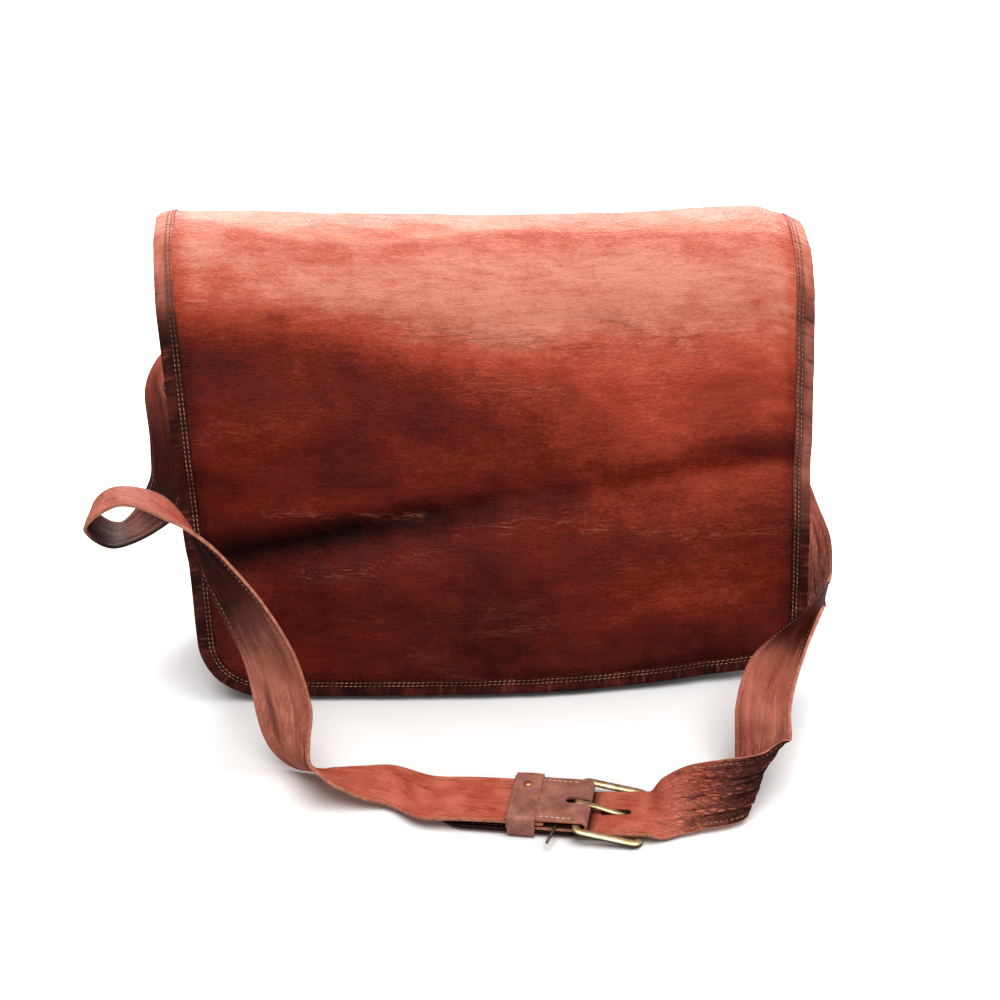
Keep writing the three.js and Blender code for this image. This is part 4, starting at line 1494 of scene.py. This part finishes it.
# Buckle end
TAB_STITCH_LINE = 18.6
KEEPER_SIDE = 0.6


def bent_line(corners, radius):
    """Points of a path through the corners, rounded at each by the radius."""
    runs = [corners[0]]
    for before, corner, after in zip(corners, corners[1:], corners[2:]):
        to_start = unit(before - corner)
        to_end = unit(after - corner)
        share = np.linspace(0, 1, 9)[:, None]
        start, end = corner + to_start * radius, corner + to_end * radius
        runs.extend((1 - share) ** 2 * start + 2 * share * (1 - share) * corner + share**2 * end)
    runs.append(corners[-1])
    return np.array(runs)


def local_line(path, across):
    """A line by length through local points at the buckle, with one direction across."""
    reach = lengths_along(path)

    def line(s):
        return points_at(s, reach, path), np.tile(np.array(across, float), (len(s), 1))

    return reach[-1], line


def to_buckle(bm, tilted=False):
    """Takes a piece that was made in the buckle's own frame, in metres, to its place."""
    place = buckle_matrix(tilted) @ Matrix.Scale(1 / MM, 4)
    bmesh.ops.transform(bm, matrix=place, verts=bm.verts)
    return bm


def tab_path():
    bend_x = BUCKLE_BAR / 2
    radius = TAB_TOP - BAR_LEVEL
    turns = np.linspace(-math.pi / 2, math.pi / 2, 25)
    bend = stack(bend_x + radius * np.cos(turns), 0, BAR_LEVEL + radius * np.sin(turns))
    return np.vstack([[(-TAB_LENGTH, 0, TAB_BOTTOM)], bend, [(-TAB_LENGTH, 0, TAB_TOP)]])


def tab_width(s):
    return np.full_like(s, STRAP_HALF)


def tab_skin(s, v, level):
    dip = 0.25 * bell((np.abs(v) - TAB_STITCH_LINE) / 0.9)
    return 0.12 * hills(s / 7, v / 7, 51) - dip


def add_tab():
    length, line = local_line(tab_path(), (0, 1, 0))
    tab = Band(length, line, tab_width, TAB_WALL / 2, tab_skin, rim=0.6)
    bm = to_buckle(tab.mesh(100, 44))
    finishes = [TAB_LEATHER, CUT_EDGE, SUEDE]
    obj = add_piece("buckle_tab_leather", bm, finishes, "buckle_tab")
    punch(obj, slot_tool(along=-0.5, length=17, width=6.4, low=0, high=20))
    s = np.linspace(length - TAB_LENGTH + 3, length - 3, 60)
    turn = np.array(buckle_matrix().to_3x3()) / MM
    shift = np.array([BUCKLE_AT[0], BUCKLE_AT[1], 0])
    rows = []
    for row in (-TAB_STITCH_LINE, TAB_STITCH_LINE):
        v = np.full_like(s, row)
        points = tab.surface(s, v, np.ones_like(s)) @ turn.T + shift
        rows.append(stitch_row(points, tab.outward(s, v) @ turn.T, TAB_PITCH))
    add_stitching("buckle_tab_stitches", rows, PALE_THREAD)


def keeper_path():
    half = STRAP_HALF + KEEPER_SIDE + KEEPER_WALL / 2
    low, high = KEEPER_WALL / 2, KEEPER_TOP + KEEPER_WALL / 2
    middle = KEEPER_START + KEEPER_LENGTH / 2
    corners = [(0, low), (half, low), (half, high), (-half, high), (-half, low), (0, low)]
    return bent_line(np.array([(middle, y, z) for y, z in corners], float), 2.4)


def add_keeper():
    length, line = local_line(keeper_path(), (-1, 0, 0))

    def width(s):
        return np.full_like(s, KEEPER_LENGTH / 2)

    def skin(s, v, level):
        edge = 0.3 * bell((np.abs(v) - 6.6) / 0.8)
        return 0.1 * hills(s / 5, v / 5, 61) - edge

    keeper = Band(length, line, width, KEEPER_WALL / 2, skin, rim=0.5)
    bm = to_buckle(keeper.mesh(150, 20, closed=True))
    finishes = [TAB_LEATHER, CUT_EDGE, SUEDE]
    add_piece("strap_keeper_leather", bm, finishes, "strap_keeper")


def lathe(profile, steps):
    """A round piece spun from a profile of radius and height, in millimetres."""
    bm = bmesh.new()
    verts = [bm.verts.new((radius * MM, 0, height * MM)) for radius, height in profile]
    edges = [bm.edges.new(pair) for pair in zip(verts, verts[1:])]
    bmesh.ops.spin(
        bm,
        geom=verts + edges,
        cent=(0, 0, 0),
        axis=(0, 0, 1),
        angle=2 * math.pi,
        steps=steps,
        use_merge=True,
    )
    bmesh.ops.remove_doubles(bm, verts=bm.verts, dist=1e-7)
    bmesh.ops.recalc_face_normals(bm, faces=bm.faces)
    return bm


def add_rivet():
    profile = [
        (0, -1.4),
        (1, -1.4),
        (1, 0.1),
        (2.5, 0.12),
        (2.6, 0.3),
        (2.55, 0.6),
        (2.3, 0.95),
        (1.7, 1.25),
        (0.9, 1.4),
        (0, 1.45),
    ]
    bm = lathe(profile, 28)
    place = Vector((*RIVET_AT, KEEPER_TOP + KEEPER_WALL))
    bmesh.ops.translate(bm, verts=bm.verts, vec=place * MM)
    add_piece("keeper_rivet_brass", to_buckle(bm), [COPPER], "keeper_rivet")


def add_pin():
    start, end = Vector(PIN_FROM), Vector(PIN_TO)
    long = (end - start).length
    profile = [
        (0, 0),
        (0.9, 0.05),
        (1.1, 0.4),
        (1.1, long * 0.55),
        (0.95, long * 0.8),
        (0.78, long - 0.5),
        (0.5, long - 0.1),
        (0, long),
    ]
    bm = lathe(profile, 20)
    turn = Vector((0, 0, 1)).rotation_difference(end - start).to_matrix().to_4x4()
    bmesh.ops.transform(bm, matrix=Matrix.Translation(start * MM) @ turn, verts=bm.verts)
    add_piece("tab_pin_steel", to_buckle(bm), [STEEL], "tab_pin")


def frame_outline(count):
    """The middle line of the buckle's frame in its own plane, round four rounded corners."""
    start, end = 0, BUCKLE_LONG - BUCKLE_BAR
    half = (BUCKLE_WIDE - BUCKLE_BAR) / 2
    corners = [(start, 0), (start, -half), (end, -half), (end, half), (start, half), (start, 0)]
    flat = np.array([(x, y, 0) for x, y in corners], float)
    path = bent_line(flat, BUCKLE_CORNER - BUCKLE_BAR / 2)
    reach = lengths_along(path)
    return points_at(np.linspace(0, reach[-1], count), reach, path)


def add_buckle_frame():
    steps, around = 160, 20

    def place(u, v):
        path = frame_outline(steps + 1)
        ahead = np.roll(path[:-1], -1, axis=0) - np.roll(path[:-1], 1, axis=0)
        ahead = unit(np.vstack([ahead, ahead[:1]]))
        row = np.rint(u * steps).astype(int)
        aside = np.cross(ahead, (0, 0, 1))[row]
        angle = 2 * math.pi * v
        wide = np.sign(np.cos(angle)) * np.abs(np.cos(angle)) ** 0.75 * BUCKLE_BAR / 2
        high = np.sign(np.sin(angle)) * np.abs(np.sin(angle)) ** 0.75 * BUCKLE_THICK / 2
        points = path[row] + aside * wide[:, None] + np.array((0, 0, 1)) * high[:, None]
        return points, points

    bm = sheet(steps, around, place)
    bmesh.ops.remove_doubles(bm, verts=bm.verts, dist=1e-6)
    bmesh.ops.recalc_face_normals(bm, faces=bm.faces)
    add_piece("buckle_frame_brass", to_buckle(bm, tilted=True), [BRASS], "buckle_frame")


def add_prong():
    side = BUCKLE_BAR / 2 + GAP + PRONG_WALL / 2
    top = BUCKLE_THICK / 2 + GAP + PRONG_WALL / 2
    shank = [PRONG_TIP, (side + 6, top - 0.4)]
    ring = [(side, top), (-side, top), (-side, -top), (side, -top), (side, top - 2.2)]
    path = bent_line(np.array([(x, 0, z) for x, z in shank + ring], float), 1.4)
    length, line = local_line(path, (0, 1, 0))

    def width(s):
        return blend(1.5, 2.1, ease(s / 14))

    def skin(s, v, level):
        return 0.35 * stretch(s, 0, 8, 22, 6) * (1 - (v / 2.4) ** 2)

    prong = Band(length, line, width, PRONG_WALL / 2, skin, rim=0.5)
    bm = to_buckle(prong.mesh(110, 8), tilted=True)
    add_piece("buckle_prong_brass", bm, [BRASS, BRASS, BRASS], "buckle_prong")


add_flap()
add_binding()
add_binding_stitches()
add_body()
add_body_stitches()
add_straps()
add_tab()
add_keeper()
add_rivet()
add_pin()
add_buckle_frame()
add_prong()


# Floor and soft studio light
def add_floor():
    bm = bmesh.new()
    bmesh.ops.create_grid(bm, x_segments=1, y_segments=1, size=60)
    mesh = mesh_from("floor", bm)
    mesh.materials.append(pale_floor())
    floor = put("floor", mesh)
    floor.visible_glossy = False


def add_light(name, place, aim, width, depth, power):
    data = bpy.data.lights.new(name, "AREA")
    data.shape = "RECTANGLE"
    data.size = width
    data.size_y = depth
    data.energy = power
    light = put(name, data)
    light.location = place
    light.rotation_euler = (Vector(aim) - Vector(place)).to_track_quat("-Z", "Y").to_euler()


def add_lights():
    overhead = bpy.data.lights.new("overhead", "SUN")
    overhead.energy = 3.3
    overhead.angle = math.radians(60)
    put("overhead", overhead).rotation_euler = (math.radians(12), math.radians(8), 0)
    place, aim = (0.2, 1.9, 1.5), (0, 0, 0.25)
    add_light("back_light", place, aim, width=3.4, depth=1.8, power=100)
    world = bpy.data.worlds.new("studio")
    sky = Nodes(world)
    way = sky.node("ShaderNodeTexCoord", {}, {}, "Generated")
    height = sky.node("ShaderNodeSeparateXYZ", {}, {0: way}, "Z")
    bright, dim = (1, 1, 1, 1), (0.06, 0.06, 0.06, 1)
    glow = sky.ramp(0.5 * height + 0.5, [(0.46, dim), (0.48, bright), (0.66, bright), (0.8, dim)])
    background = sky.node("ShaderNodeBackground", {}, {"Color": glow, "Strength": 0.9})
    sky.node("ShaderNodeOutputWorld", {}, {"Surface": background})
    bpy.context.scene.world = world
    bpy.context.scene.view_settings.view_transform = "Standard"
    bpy.context.scene.view_settings.gamma = 0.84


add_floor()
add_lights()
